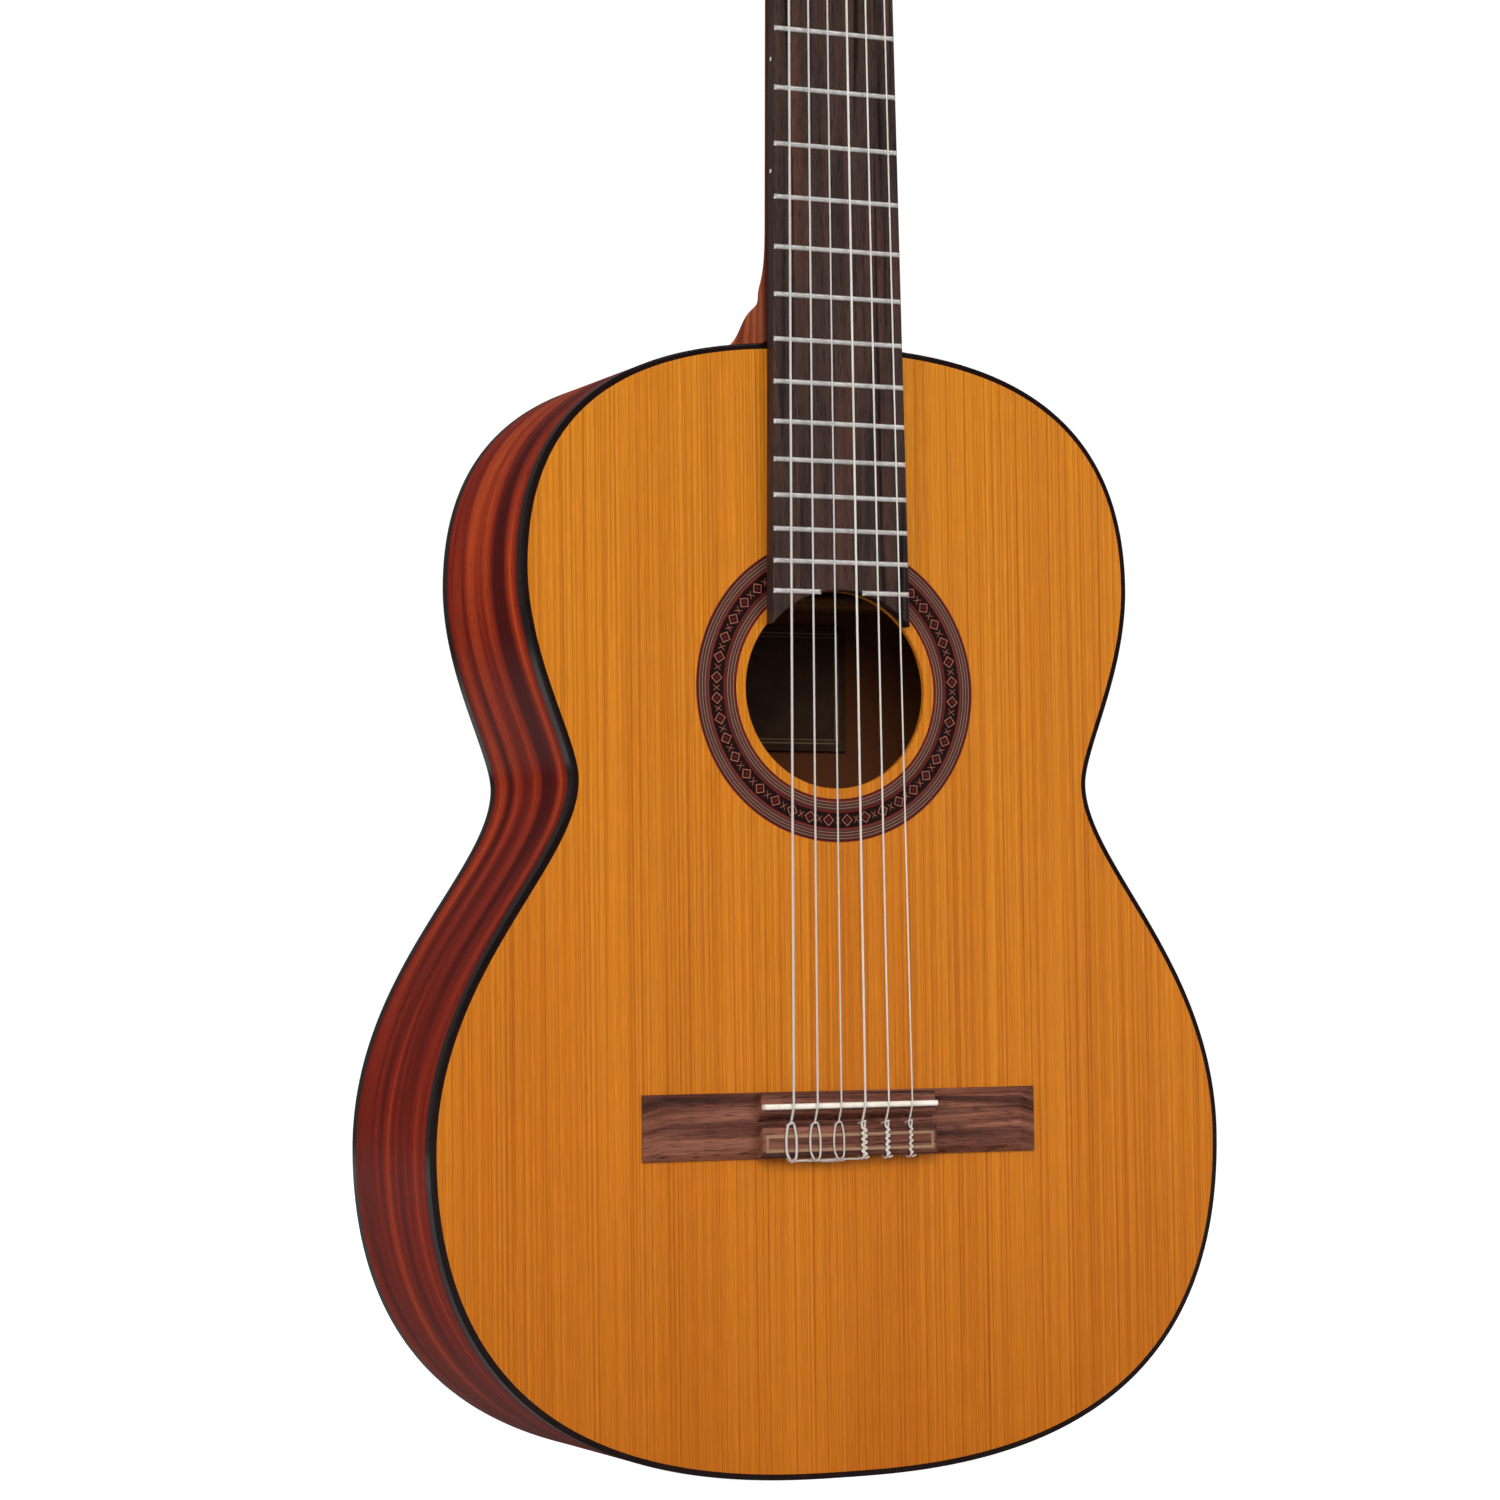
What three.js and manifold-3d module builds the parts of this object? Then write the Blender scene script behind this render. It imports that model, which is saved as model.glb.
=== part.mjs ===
// Classical guitar, full size, 650 mm scale, modelled standing on its tail. X runs across the body,
// towards the treble side. Y runs from front to back, and Z up the neck. Millimetres. Everything is
// placed from the front face of the soundboard, where y is 0; the last group then centres the depth. A
// bench would part it into a hollow box (top, back, two ribs, linings, bindings and braces), a neck with
// its fretboard and slotted head, a bridge, six strings, and two plates of three worm-driven string
// rollers.

import * as THREE from "three";
import { mergeVertices } from "three/addons/utils/BufferGeometryUtils.js";
import Module from "manifold-3d";

const wasm = await Module();
wasm.setup();

// ---- Driving dimensions -------------------------------------------------------------------------

const GAP = 0.2; // glue line left between two fitted pieces

// Body outline: half widths, and how far each one lies above the tail.
const BODY_LENGTH = 485;
const LOWER_BOUT = { halfWidth: 186, z: 141 };
const WAIST = { halfWidth: 122, z: 296 };
const UPPER_BOUT = { halfWidth: 144, z: 384 };
// How far the outline keeps its direction when it leaves each of those places.
const REACH = {
  tail: 50, lowerBelow: 141, lowerAbove: 76, waistBelow: 35, waistAbove: 16, upperBelow: 38,
    upperAbove: 101, neck: 42,
};
const OUTLINE_STEPS = 7; // per curve of the outline

// Box
const DEPTH_AT_TAIL = 102;
const DEPTH_AT_NECK = 96;
const TOP_THICKNESS = 2.6;
const BACK_THICKNESS = 2.6;
const RIB_THICKNESS = 2.2;
const BINDING = { width: 2.6, height: 6 };
const LINING = { width: 6, height: 14 };
const BLOCK_HALF_WIDTH = 30;
const BLOCK_LENGTH = 26;
const END_GRAFT_HALF_WIDTH = 3.2;
const HEEL_WEB_HALF_WIDTH = 11;
const LABEL = { halfWidth: 49, low: 315, high: 372, thickness: 0.4 };

// Soundhole and rosette
const HOLE = { z: 335.6, radius: 42.4 };
const ROSETTE = { inner: 47, outer: 65.6, depth: 1.2 };
const ROUND_STEPS = 32;

// Neck and fretboard
const SCALE = 650;
const NUT_Z = BODY_LENGTH + SCALE / 2; // the twelfth fret lies where the neck meets the body
const BOARD = { thickness: 7, length: 447, halfAtNut: 26, halfAtJoint: 30.75 };
const FRETS = 19;
const FRET = { halfWidth: 1.1, height: 1.1 };
const NUT = { length: 5, height: 9.6, slotHeight: 8.6 };
const NECK_DEPTH = { nut: 15, joint: 17, underNut: 20 };
const HEEL = { capLength: 12, rise: 50, halfWidthAtCap: 10.5, flare: 32 };

// Slotted head, in its own leaning frame: x across, y into the wood, z away from the nut.
const HEAD = { tilt: 15, drop: 2, length: 185, halfWidth: 36, thickness: 19, veneer: 2, shoulder: 26 };
const SLOT = { centre: 18.5, halfWidth: 7.5, start: 34, end: 136, rampStart: 14, rampDepth: 5.5 };
const HEAD_ORIGIN_Z = NUT_Z + NUT.length;

// Bridge
const BRIDGE = { halfLength: 92.5, low: 136, high: 164, wing: 3.6, block: 8, bevel: 8 };
const TIE_BLOCK = { halfWidth: 41, height: 8.8, high: 149.5, holeDepth: 4.2, holeRadius: 1 };
const SADDLE = { z: 158, halfLength: 41, halfWidth: 1.25, height: 11.4, seat: 3 };
const TRIM = { halfLength: 39.6, low: 138.8, high: 146.2, strip: 1.5, thickness: 0.9 };

// Strings, from the first (treble) to the sixth (bass)
const STRING_DIAMETERS = [0.72, 0.82, 1.02, 0.75, 0.9, 1.1];
const SPAN_AT_NUT = 42;
const SPAN_AT_SADDLE = 56;

// Tuning machines, in the head's frame
const TUNER = { first: 50, spacing: 35, axisDepth: 9.5, teeth: 14, module: 0.7 };
const PLATE = { low: 30, high: 134, halfWidth: 6.5, thickness: 1.3 };
const ROLLER = {
  pinStart: 7, pin: 3, barrelStart: 11.3, barrel: 4.8, barrelEnd: 35.8, shank: 2.4, shankEnd: 39.2,
    tenon: 1.9, tenonEnd: 42.4,
};
const WORM = { pitchRadius: 2.4, outer: 3, shaft: 1.5, turns: 2.5, x: 41, shaftStart: -6.3, shaftEnd: 24 };
const GEAR = { addendum: 0.6, dedendum: 0.85, thickness: 3.2, bore: 2.2, toothShare: 0.43 };
const BUTTON_START = 13;
const PRESSURE_ANGLE = Math.tan(THREE.MathUtils.degToRad(20));

// ---- Materials ----------------------------------------------------------------------------------

const finish = (color, roughness, metalness = 0) =>
  new THREE.MeshStandardMaterial({ color, roughness, metalness });
const cedar = finish(0xc87a26, 0.35);
const mahogany = finish(0x6e1c08, 0.3);
const neckWood = finish(0x8a3c14, 0.45);
const rosewood = finish(0x3a2722, 0.5);
const blackWood = finish(0x120a08, 0.3);
const innerWood = finish(0xb98a55, 0.8);
const mosaic = finish(0x4a2420, 0.45);
const bone = finish(0xf2ebdc, 0.35);
const paleWood = finish(0xd9b88a, 0.5);
const paper = finish(0xe4dcc4, 0.9);
const woundString = finish(0xd8d6d2, 0.35, 0.8);
const nylon = finish(0xe9e4da, 0.25);
const brass = finish(0xc9a052, 0.3, 1);
const steel = finish(0xb8b8ba, 0.3, 1);
const pearl = finish(0xe9e6dc, 0.25);
const rollerPlastic = finish(0xece6d4, 0.4);

// ---- Helpers ------------------------------------------------------------------------------------

const guitar = new THREE.Group();
const assembly = new THREE.Group();
guitar.add(assembly);

// Puts a named mesh in a group and returns it, so that it can be placed or turned.
function add(group, name, geometry, material) {
  const mesh = new THREE.Mesh(geometry, material);
  mesh.name = name;
  group.add(mesh);
  return mesh;
}

function solid(geometry) {
  const bare = geometry.index ? geometry.toNonIndexed() : geometry.clone();
  bare.deleteAttribute("normal");
  bare.deleteAttribute("uv");
  const merged = mergeVertices(bare, 1e-4);
  const vertProperties = merged.attributes.position.array;
  return new wasm.Manifold(new wasm.Mesh({ numProp: 3, vertProperties,
    triVerts: new Uint32Array(merged.index.array) }));
}

function geometryOf(made) {
  const mesh = made.getMesh();
  return new THREE.BufferGeometry()
    .setAttribute("position", new THREE.BufferAttribute(mesh.vertProperties, 3))
    .setIndex(new THREE.BufferAttribute(mesh.triVerts, 1));
}

const union = (solids) => solids.reduce((whole, next) => whole.add(next));
const without = (whole, cuts) => cuts.reduce((left, cut) => left.subtract(cut), whole);
const at = (value, z) => (typeof value === "function" ? value(z) : value);

// A shape drawn in x and z, made solid between two depths y. Each depth is a number, or a function of z.
function plate(shape, front, back, curveSegments = 8) {
  const geometry = new THREE.ExtrudeGeometry(shape, { depth: 1, bevelEnabled: false, curveSegments });
  geometry.rotateX(Math.PI / 2);
  const position = geometry.attributes.position;
  for (let i = 0; i < position.count; i++) {
    const z = position.getZ(i);
    const share = Math.round(-position.getY(i));
    position.setY(i, share ? at(front, z) : at(back, z));
  }
  return geometry;
}

// A shape drawn in y and z, made solid from x0 to x1.
function alongX(shape, x0, x1, curveSegments = 8) {
  const geometry = new THREE.ExtrudeGeometry(shape, { depth: x1 - x0, bevelEnabled: false, curveSegments });
  const [xAxis, yAxis, zAxis] = [[1, 0, 0], [0, 1, 0], [0, 0, 1]].map((axis) => new THREE.Vector3(...axis));
  const turn = new THREE.Matrix4().makeBasis(yAxis, zAxis, xAxis);
  return geometry.applyMatrix4(turn).translate(x0, 0, 0);
}

function box(low, high) {
  const geometry = new THREE.BoxGeometry(high[0] - low[0], high[1] - low[1], high[2] - low[2]);
  return geometry.translate((low[0] + high[0]) / 2, (low[1] + high[1]) / 2, (low[2] + high[2]) / 2);
}

const solidBox = (low, high) => solid(box(low, high));

// A round rod along X.
function rodX(radius, x0, x1, y, z, sides = 10) {
  return new THREE.CylinderGeometry(radius, radius, x1 - x0, sides).rotateZ(-Math.PI / 2)
    .translate((x0 + x1) / 2, y, z);
}

// A turned piece whose axis is X; the profile holds [x, radius] pairs, from the axis and back to it.
function turnedX(profile, sides) {
  return new THREE.LatheGeometry(profile.map(([x, radius]) => new THREE.Vector2(radius, x)), sides)
    .rotateZ(-Math.PI / 2);
}

// Joins rings of equally many points, in order, into one closed skin with a fan over each end.
// Seen from the last ring's end, each ring runs anticlockwise.
function loft(rings) {
  const count = rings[0].length;
  const points = rings.flat();
  const faces = [];
  for (let r = 0; r + 1 < rings.length; r++) {
    for (let i = 0; i < count; i++) {
      const a = r * count + i;
      const b = r * count + ((i + 1) % count);
      faces.push(a, b, b + count, a, b + count, a + count);
    }
  }
  const middle = (ring) => ring.reduce((sum, p) => sum.add(p), new THREE.Vector3()).divideScalar(count);
  points.push(middle(rings[0]), middle(rings.at(-1)));
  const last = (rings.length - 1) * count;
  for (let i = 0; i < count; i++) {
    const next = (i + 1) % count;
    faces.push(next, i, points.length - 2, last + i, last + next, points.length - 1);
  }
  const position = new Float32Array(points.flatMap((p) => p.toArray()));
  return new THREE.BufferGeometry().setAttribute("position", new THREE.BufferAttribute(position, 3))
    .setIndex(faces);
}

// A round cord through a list of points. The rings keep their turn from one point to the next.
function cord(points, radius, sides = 6) {
  const directionAt = (i) =>
    points[Math.min(i + 1, points.length - 1)].clone().sub(points[Math.max(i - 1, 0)]).normalize();
  let across = new THREE.Vector3(1, 0, 0);
  const rings = points.map((point, i) => {
    const along = directionAt(i);
    across = across.clone().addScaledVector(along, -across.dot(along)).normalize();
    const up = new THREE.Vector3().crossVectors(along, across);
    return Array.from({ length: sides }, (_, k) => {
      const angle = (2 * Math.PI * k) / sides;
      return point.clone().addScaledVector(across, radius * Math.cos(angle))
        .addScaledVector(up, radius * Math.sin(angle));
    });
  });
  return loft(rings);
}

// ---- Body outline -------------------------------------------------------------------------------

const v2 = (x, z) => new THREE.Vector2(x, z);
const backDepth = (z) => DEPTH_AT_TAIL + ((DEPTH_AT_NECK - DEPTH_AT_TAIL) * z) / BODY_LENGTH;

// The treble half, from the tail to the neck, as four curves that meet where the width is greatest or least.
const outlineCurves = [
  [v2(0, 0), v2(REACH.tail, 0), v2(LOWER_BOUT.halfWidth, LOWER_BOUT.z - REACH.lowerBelow),
    v2(LOWER_BOUT.halfWidth, LOWER_BOUT.z)],
  [v2(LOWER_BOUT.halfWidth, LOWER_BOUT.z), v2(LOWER_BOUT.halfWidth, LOWER_BOUT.z + REACH.lowerAbove),
    v2(WAIST.halfWidth, WAIST.z - REACH.waistBelow), v2(WAIST.halfWidth, WAIST.z)],
  [v2(WAIST.halfWidth, WAIST.z), v2(WAIST.halfWidth, WAIST.z + REACH.waistAbove),
    v2(UPPER_BOUT.halfWidth, UPPER_BOUT.z - REACH.upperBelow), v2(UPPER_BOUT.halfWidth, UPPER_BOUT.z)],
  [v2(UPPER_BOUT.halfWidth, UPPER_BOUT.z), v2(UPPER_BOUT.halfWidth, UPPER_BOUT.z + REACH.upperAbove),
    v2(REACH.neck, BODY_LENGTH), v2(0, BODY_LENGTH)],
].map((points) => new THREE.CubicBezierCurve(...points));

// Points of the treble half, moved inwards by inset, with the first and last on the centre line.
function halfOutline(inset) {
  const points = [];
  outlineCurves.forEach((curve, quarter) => {
    for (let step = quarter ? 1 : 0; step <= OUTLINE_STEPS; step++) {
      const t = step / OUTLINE_STEPS;
      const tangent = curve.getTangent(t);
      points.push(curve.getPoint(t).add(v2(-tangent.y, tangent.x).multiplyScalar(inset)));
    }
  });
  points[0].x = 0;
  points.at(-1).x = 0;
  return points;
}

function fullOutline(inset) {
  const half = halfOutline(inset);
  const mirrored = half.slice(1, -1).reverse().map((p) => v2(-p.x, p.y));
  return [...half, ...mirrored];
}

// A band that follows the outline between two insets.
function bandShape(outer, inner) {
  const shape = new THREE.Shape(fullOutline(outer));
  shape.holes.push(new THREE.Path(fullOutline(inner)));
  return shape;
}

function circlePath(x, z, radius, sides = ROUND_STEPS) {
  const points = Array.from({ length: sides }, (_, i) => {
    const angle = (2 * Math.PI * i) / sides;
    return v2(x + radius * Math.cos(angle), z + radius * Math.sin(angle));
  });
  return new THREE.Path(points);
}

function ringShape(x, z, outer, inner, sides) {
  const shape = new THREE.Shape(circlePath(x, z, outer, sides).getPoints());
  shape.holes.push(circlePath(x, z, inner, sides));
  return shape;
}

// ---- Soundbox -----------------------------------------------------------------------------------

function soundboard() {
  const shape = new THREE.Shape(fullOutline(BINDING.width + GAP));
  shape.holes.push(circlePath(0, HOLE.z, HOLE.radius));
  const channel = ringShape(0, HOLE.z, ROSETTE.outer + GAP, ROSETTE.inner - GAP);
  return geometryOf(solid(plate(shape, 0, TOP_THICKNESS))
    .subtract(solid(plate(channel, -1, ROSETTE.depth + GAP))));
}

const rosette = () => plate(ringShape(0, HOLE.z, ROSETTE.outer, ROSETTE.inner), 0, ROSETTE.depth);

const back = () => plate(new THREE.Shape(fullOutline(BINDING.width + GAP)),
  (z) => backDepth(z) - BACK_THICKNESS, backDepth);

// One bent side. It stops at the end graft, and at the web that joins the heel to the block inside.
function rib(side) {
  const mirror = (points) => points.map((p) => v2(side * p.x, p.y));
  const shape = new THREE.Shape([...mirror(halfOutline(0)), ...mirror(halfOutline(RIB_THICKNESS)).reverse()]);
  const inFromBack = BINDING.height + GAP;
  const whole = solid(plate(shape, inFromBack, (z) => backDepth(z) - inFromBack));
  const graft = END_GRAFT_HALF_WIDTH + GAP;
  const web = HEEL_WEB_HALF_WIDTH + GAP;
  return geometryOf(without(whole, [
    solidBox([-graft, 0, -5], [graft, DEPTH_AT_TAIL, 30]),
    solidBox([-web, 0, BODY_LENGTH - 30], [web, DEPTH_AT_TAIL, BODY_LENGTH + 5]),
  ]));
}

const topBinding = () => plate(bandShape(0, BINDING.width), 0, BINDING.height);
const backBinding = () => plate(bandShape(0, BINDING.width), (z) => backDepth(z) - BINDING.height, backDepth);

// Each lining runs all the way round inside the ribs, and the two end blocks stand inside it.
function lining(front, backEdge) {
  const outer = BINDING.width + GAP;
  return plate(bandShape(outer, outer + LINING.width), front, backEdge);
}

const topLining = () => lining(TOP_THICKNESS + GAP, TOP_THICKNESS + GAP + LINING.height);
const backLining = () =>
  lining((z) => backDepth(z) - BACK_THICKNESS - GAP - LINING.height,
    (z) => backDepth(z) - BACK_THICKNESS - GAP);

const blockInset = BINDING.width + LINING.width + 2 * GAP; // an end block stands inside the linings
const blockFront = TOP_THICKNESS + GAP;
const blockBack = (z) => backDepth(z) - BACK_THICKNESS - GAP;

// A block's outline, between two heights.
function rectangle(halfWidth, low, high) {
  return new THREE.Shape([v2(-halfWidth, low), v2(halfWidth, low), v2(halfWidth, high),
    v2(-halfWidth, high)]);
}

const tailBlock = () =>
  plate(rectangle(BLOCK_HALF_WIDTH, blockInset + 3, blockInset + BLOCK_LENGTH), blockFront, blockBack);

function endGraft() {
  const edge = BINDING.height + GAP;
  return plate(rectangle(END_GRAFT_HALF_WIDTH, 0, RIB_THICKNESS), edge, (z) => backDepth(z) - edge);
}

// A bar glued under the soundboard, drawn between two points.
function brace(from, to, width, height) {
  const length = from.distanceTo(to);
  const angle = Math.atan2(to.x - from.x, to.y - from.y);
  const bar = new THREE.BoxGeometry(width, height, length).rotateY(angle);
  return solid(bar.translate((from.x + to.x) / 2, blockFront + height / 2, (from.y + to.y) / 2));
}

// Two harmonic bars joined by the soundhole's patches, and five fans that run from the lower one to two
// closing bars.
function soundboardBracing() {
  const upper = 392;
  const lower = 284;
  const bar = { width: 6, height: 14 };
  const patch = { x: 50, width: 10, height: 3 };
  const fanFoot = 42;
  const bars = [
    brace(v2(-124, upper), v2(124, upper), bar.width, bar.height),
    brace(v2(-106, lower), v2(106, lower), bar.width, bar.height),
    ...[-1, 1].map((side) =>
      brace(v2(side * patch.x, lower), v2(side * patch.x, upper), patch.width, patch.height)),
    ...[-2, -1, 0, 1, 2].map((fan) =>
      brace(v2(fan * 18, lower), v2(fan * 33, fanFoot + Math.abs(fan) * 14), 5, 4)),
    ...[-1, 1].map((side) => brace(v2(0, fanFoot - 1), v2(side * 84, fanFoot + 37), 5, 4)),
  ];
  return geometryOf(union(bars));
}

// The centre strip over the back's joint, and three cross bars.
function backBracing() {
  const strip = plate(rectangle(9, 44, BODY_LENGTH - 50), (z) => blockBack(z) - 2, blockBack);
  const bars = [[110, 160], [245, 118], [382, 126]].map(([z, halfLength]) =>
    solid(plate(rectangle(halfLength, z - 3.5, z + 3.5), (height) => blockBack(height) - 13, blockBack)));
  return geometryOf(union([solid(strip), ...bars]));
}

function label() {
  const under = (z) => blockBack(z) - 2 - GAP;
  return plate(rectangle(LABEL.halfWidth, LABEL.low, LABEL.high), (z) => under(z) - LABEL.thickness, under);
}

add(assembly, "soundboard", soundboard(), cedar);
add(assembly, "rosette", rosette(), mosaic);
add(assembly, "back", back(), mahogany);
add(assembly, "rib_bass", rib(-1), mahogany);
add(assembly, "rib_treble", rib(1), mahogany);
add(assembly, "top_binding", topBinding(), blackWood);
add(assembly, "back_binding", backBinding(), blackWood);
add(assembly, "top_lining", topLining(), innerWood);
add(assembly, "back_lining", backLining(), innerWood);
add(assembly, "tail_block", tailBlock(), innerWood);
add(assembly, "end_graft", endGraft(), blackWood);
add(assembly, "soundboard_bracing", soundboardBracing(), innerWood);
add(assembly, "back_bracing", backBracing(), innerWood);
add(assembly, "label", label(), paper);

// ---- Neck ---------------------------------------------------------------------------------------

const boardHalfWidth = (z) =>
  BOARD.halfAtNut + ((BOARD.halfAtJoint - BOARD.halfAtNut) * (NUT_Z - z)) / (SCALE / 2);

// A cross-section of the neck at one height: flat in front, round behind, and narrowing to a keel where
// it is deep.
function neckSection(z, depth) {
  const sides = 10;
  const half = boardHalfWidth(z);
  const heelShare = THREE.MathUtils.clamp((depth - NECK_DEPTH.joint) / 40, 0, 1);
  return Array.from({ length: sides + 1 }, (_, i) => {
    const angle = (Math.PI * i) / sides;
    const y = depth * Math.sin(angle) ** 0.95;
    const side = Math.cos(angle);
    const keel = HEEL.halfWidthAtCap + (half - HEEL.halfWidthAtCap) / (1 + (y / HEEL.flare) ** 2.2);
    const keelSide = Math.sign(Math.cos(angle)) * Math.abs(Math.cos(angle)) ** 0.2 * keel;
    return new THREE.Vector3(THREE.MathUtils.lerp(half * side, keelSide, heelShare), y, z);
  });
}

// Height and depth of the neck's back line, from the body to the head.
function neckLine() {
  const capTop = BODY_LENGTH + HEEL.capLength;
  const heelDepth = backDepth(capTop) - BACK_THICKNESS - GAP;
  const knee = v2(capTop + 11, 62);
  const end = v2(BODY_LENGTH + HEEL.rise, NECK_DEPTH.joint);
  const sweep = [
    new THREE.CubicBezierCurve(v2(capTop, heelDepth), v2(capTop + 1, heelDepth - 16),
      v2(knee.x - 0.5, knee.y + 13), knee),
    new THREE.CubicBezierCurve(knee, v2(knee.x + 1, knee.y - 22), v2(end.x - 26, end.y), end),
  ];
  return [
    v2(BODY_LENGTH + GAP, heelDepth),
    ...sweep[0].getPoints(4),
    ...sweep[1].getPoints(5).slice(1),
    v2(NUT_Z - 30, NECK_DEPTH.nut),
    v2(NUT_Z - 12, NECK_DEPTH.nut + 1.5),
    v2(HEAD_ORIGIN_Z, NECK_DEPTH.underNut),
  ];
}

const headTurn = new THREE.Euler(THREE.MathUtils.degToRad(-HEAD.tilt), 0, 0);
const headFrame = new THREE.Matrix4().makeRotationFromEuler(headTurn)
  .setPosition(0, HEAD.drop, HEAD_ORIGIN_Z);

// The head's front outline: shoulders, straight sides for the tuning machines, and a low arched crest.
function headOutline() {
  const shape = new THREE.Shape();
  const { halfWidth, length, shoulder } = HEAD;
  const crestStart = length - 20;
  shape.moveTo(-BOARD.halfAtNut, 0);
  shape.lineTo(BOARD.halfAtNut, 0);
  shape.bezierCurveTo(BOARD.halfAtNut, shoulder * 0.6, halfWidth, shoulder * 0.5, halfWidth, shoulder);
  shape.lineTo(halfWidth, SLOT.end + 8);
  shape.quadraticCurveTo(halfWidth - 1, crestStart, halfWidth - 4, crestStart);
  shape.bezierCurveTo(halfWidth - 14, crestStart + 1, 14, length, 0, length);
  shape.bezierCurveTo(-14, length, -halfWidth + 14, crestStart + 1, -halfWidth + 4, crestStart);
  shape.quadraticCurveTo(-halfWidth + 1, crestStart, -halfWidth, SLOT.end + 8);
  shape.lineTo(-halfWidth, shoulder);
  shape.bezierCurveTo(-halfWidth, shoulder * 0.5, -BOARD.halfAtNut, shoulder * 0.6, -BOARD.halfAtNut, 0);
  return shape;
}

// One long slot with round ends, and the ramp that lets its strings down into it.
function slotCuts(side) {
  const { centre, halfWidth, start, end } = SLOT;
  const shape = new THREE.Shape();
  shape.absarc(side * centre, end - halfWidth, halfWidth, 0, Math.PI, false);
  shape.absarc(side * centre, start + halfWidth, halfWidth, Math.PI, 2 * Math.PI, false);
  const ramp = new THREE.Shape([
    v2(-HEAD.veneer - 3, SLOT.rampStart - 8), v2(-HEAD.veneer, SLOT.rampStart),
      v2(SLOT.rampDepth, start + 5), v2(-HEAD.veneer - 3, start + 5),
  ]);
  const edges = [side * (centre - halfWidth), side * (centre + halfWidth)].sort((a, b) => a - b);
  return [solid(plate(shape, -5, HEAD.thickness + 5, 4)), solid(alongX(ramp, edges[0], edges[1]))];
}

const headCuts = [-1, 1].flatMap(slotCuts);
const rollerHeights = [0, 1, 2].map((i) => TUNER.first + TUNER.spacing * i);

function headBlank() {
  const { axisDepth } = TUNER;
  const bores = rollerHeights.flatMap((z) => [-1, 1].flatMap((side) => {
    const wall = [side * (SLOT.centre + 4), side * (HEAD.halfWidth + 2)].sort((a, b) => a - b);
    const web = [side * (ROLLER.pinStart - 0.6), side * (ROLLER.barrelStart + 1)].sort((a, b) => a - b);
    return [solid(rodX(ROLLER.barrel + 0.5, ...wall, axisDepth, z)),
      solid(rodX(ROLLER.pin + 0.35, ...web, axisDepth, z))];
  }));
  const blank = without(solid(plate(headOutline(), 0, HEAD.thickness, 4)), [...headCuts, ...bores]);
  return solid(geometryOf(blank).applyMatrix4(headFrame));
}

// The neck, its head, and the block inside the box are one piece of wood, slotted on each side for the ribs.
function neck() {
  const shaft = loft(neckLine().map((p) => neckSection(p.x, p.y)));
  const webEdge = BINDING.height + GAP;
  const web = plate(rectangle(HEEL_WEB_HALF_WIDTH, BODY_LENGTH - 20, BODY_LENGTH + 1), webEdge,
    (z) => backDepth(z) - webEdge);
  const top = BODY_LENGTH - blockInset;
  const block = plate(rectangle(BLOCK_HALF_WIDTH, top - BLOCK_LENGTH, top - 1), blockFront, blockBack);
  const liningRoom = [
    solidBox([-BLOCK_HALF_WIDTH, 0, top - 1],
      [BLOCK_HALF_WIDTH, blockFront + LINING.height + GAP, BODY_LENGTH - BINDING.width + GAP]),
    solid(plate(rectangle(BLOCK_HALF_WIDTH, top - 1, BODY_LENGTH - BINDING.width + GAP),
      (z) => blockBack(z) - LINING.height - GAP, DEPTH_AT_TAIL)),
  ];
  return geometryOf(union([solid(shaft), without(solid(web), liningRoom), solid(block), headBlank()]));
}

function heelCap() {
  const top = BODY_LENGTH + HEEL.capLength;
  const half = HEEL.halfWidthAtCap + 0.8;
  const shape = new THREE.Shape();
  shape.moveTo(-half, BODY_LENGTH + GAP);
  shape.lineTo(half, BODY_LENGTH + GAP);
  shape.bezierCurveTo(half - 0.5, top - 3, half - 3, top, 0, top);
  shape.bezierCurveTo(-half + 3, top, -half + 0.5, top - 3, -half, BODY_LENGTH + GAP);
  return plate(shape, (z) => backDepth(z) - BACK_THICKNESS, backDepth, 5);
}

const fretZ = (fret) => NUT_Z - SCALE * (1 - 2 ** (-fret / 12));

// The board with its frets standing on it. Its end is scooped to the edge of the soundhole, which cuts
// the last fret.
function fretboard() {
  const low = NUT_Z - BOARD.length;
  const shape = new THREE.Shape([
    v2(-boardHalfWidth(low), low), v2(boardHalfWidth(low), low), v2(BOARD.halfAtNut, NUT_Z - GAP),
      v2(-BOARD.halfAtNut, NUT_Z - GAP),
  ]);
  const frets = Array.from({ length: FRETS }, (_, i) => {
    const z = fretZ(i + 1);
    const { halfWidth, height } = FRET;
    const crown = new THREE.Shape([
      v2(0.5 - BOARD.thickness, z - halfWidth), v2(0.5 - BOARD.thickness, z + halfWidth),
        v2(-BOARD.thickness - height * 0.6, z + halfWidth * 0.8),
      v2(-BOARD.thickness - height, z), v2(-BOARD.thickness - height * 0.6, z - halfWidth * 0.8),
    ]);
    return solid(alongX(crown, -boardHalfWidth(z) + 0.3, boardHalfWidth(z) - 0.3));
  });
  const scoop = new THREE.Shape(circlePath(0, HOLE.z, HOLE.radius).getPoints());
  return geometryOf(union([solid(plate(shape, -BOARD.thickness, 0)), ...frets])
    .subtract(solid(plate(scoop, -20, 5))));
}

// ---- Strings' path over the nut and saddle ------------------------------------------------------

// Bass to treble is left to right, so the sixth string has the lowest x.
const stringX = (number, span) => span * (0.5 - (number - 1) / 5);
const numbers = [1, 2, 3, 4, 5, 6];
const radiusOf = (number) => STRING_DIAMETERS[number - 1] / 2;

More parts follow.
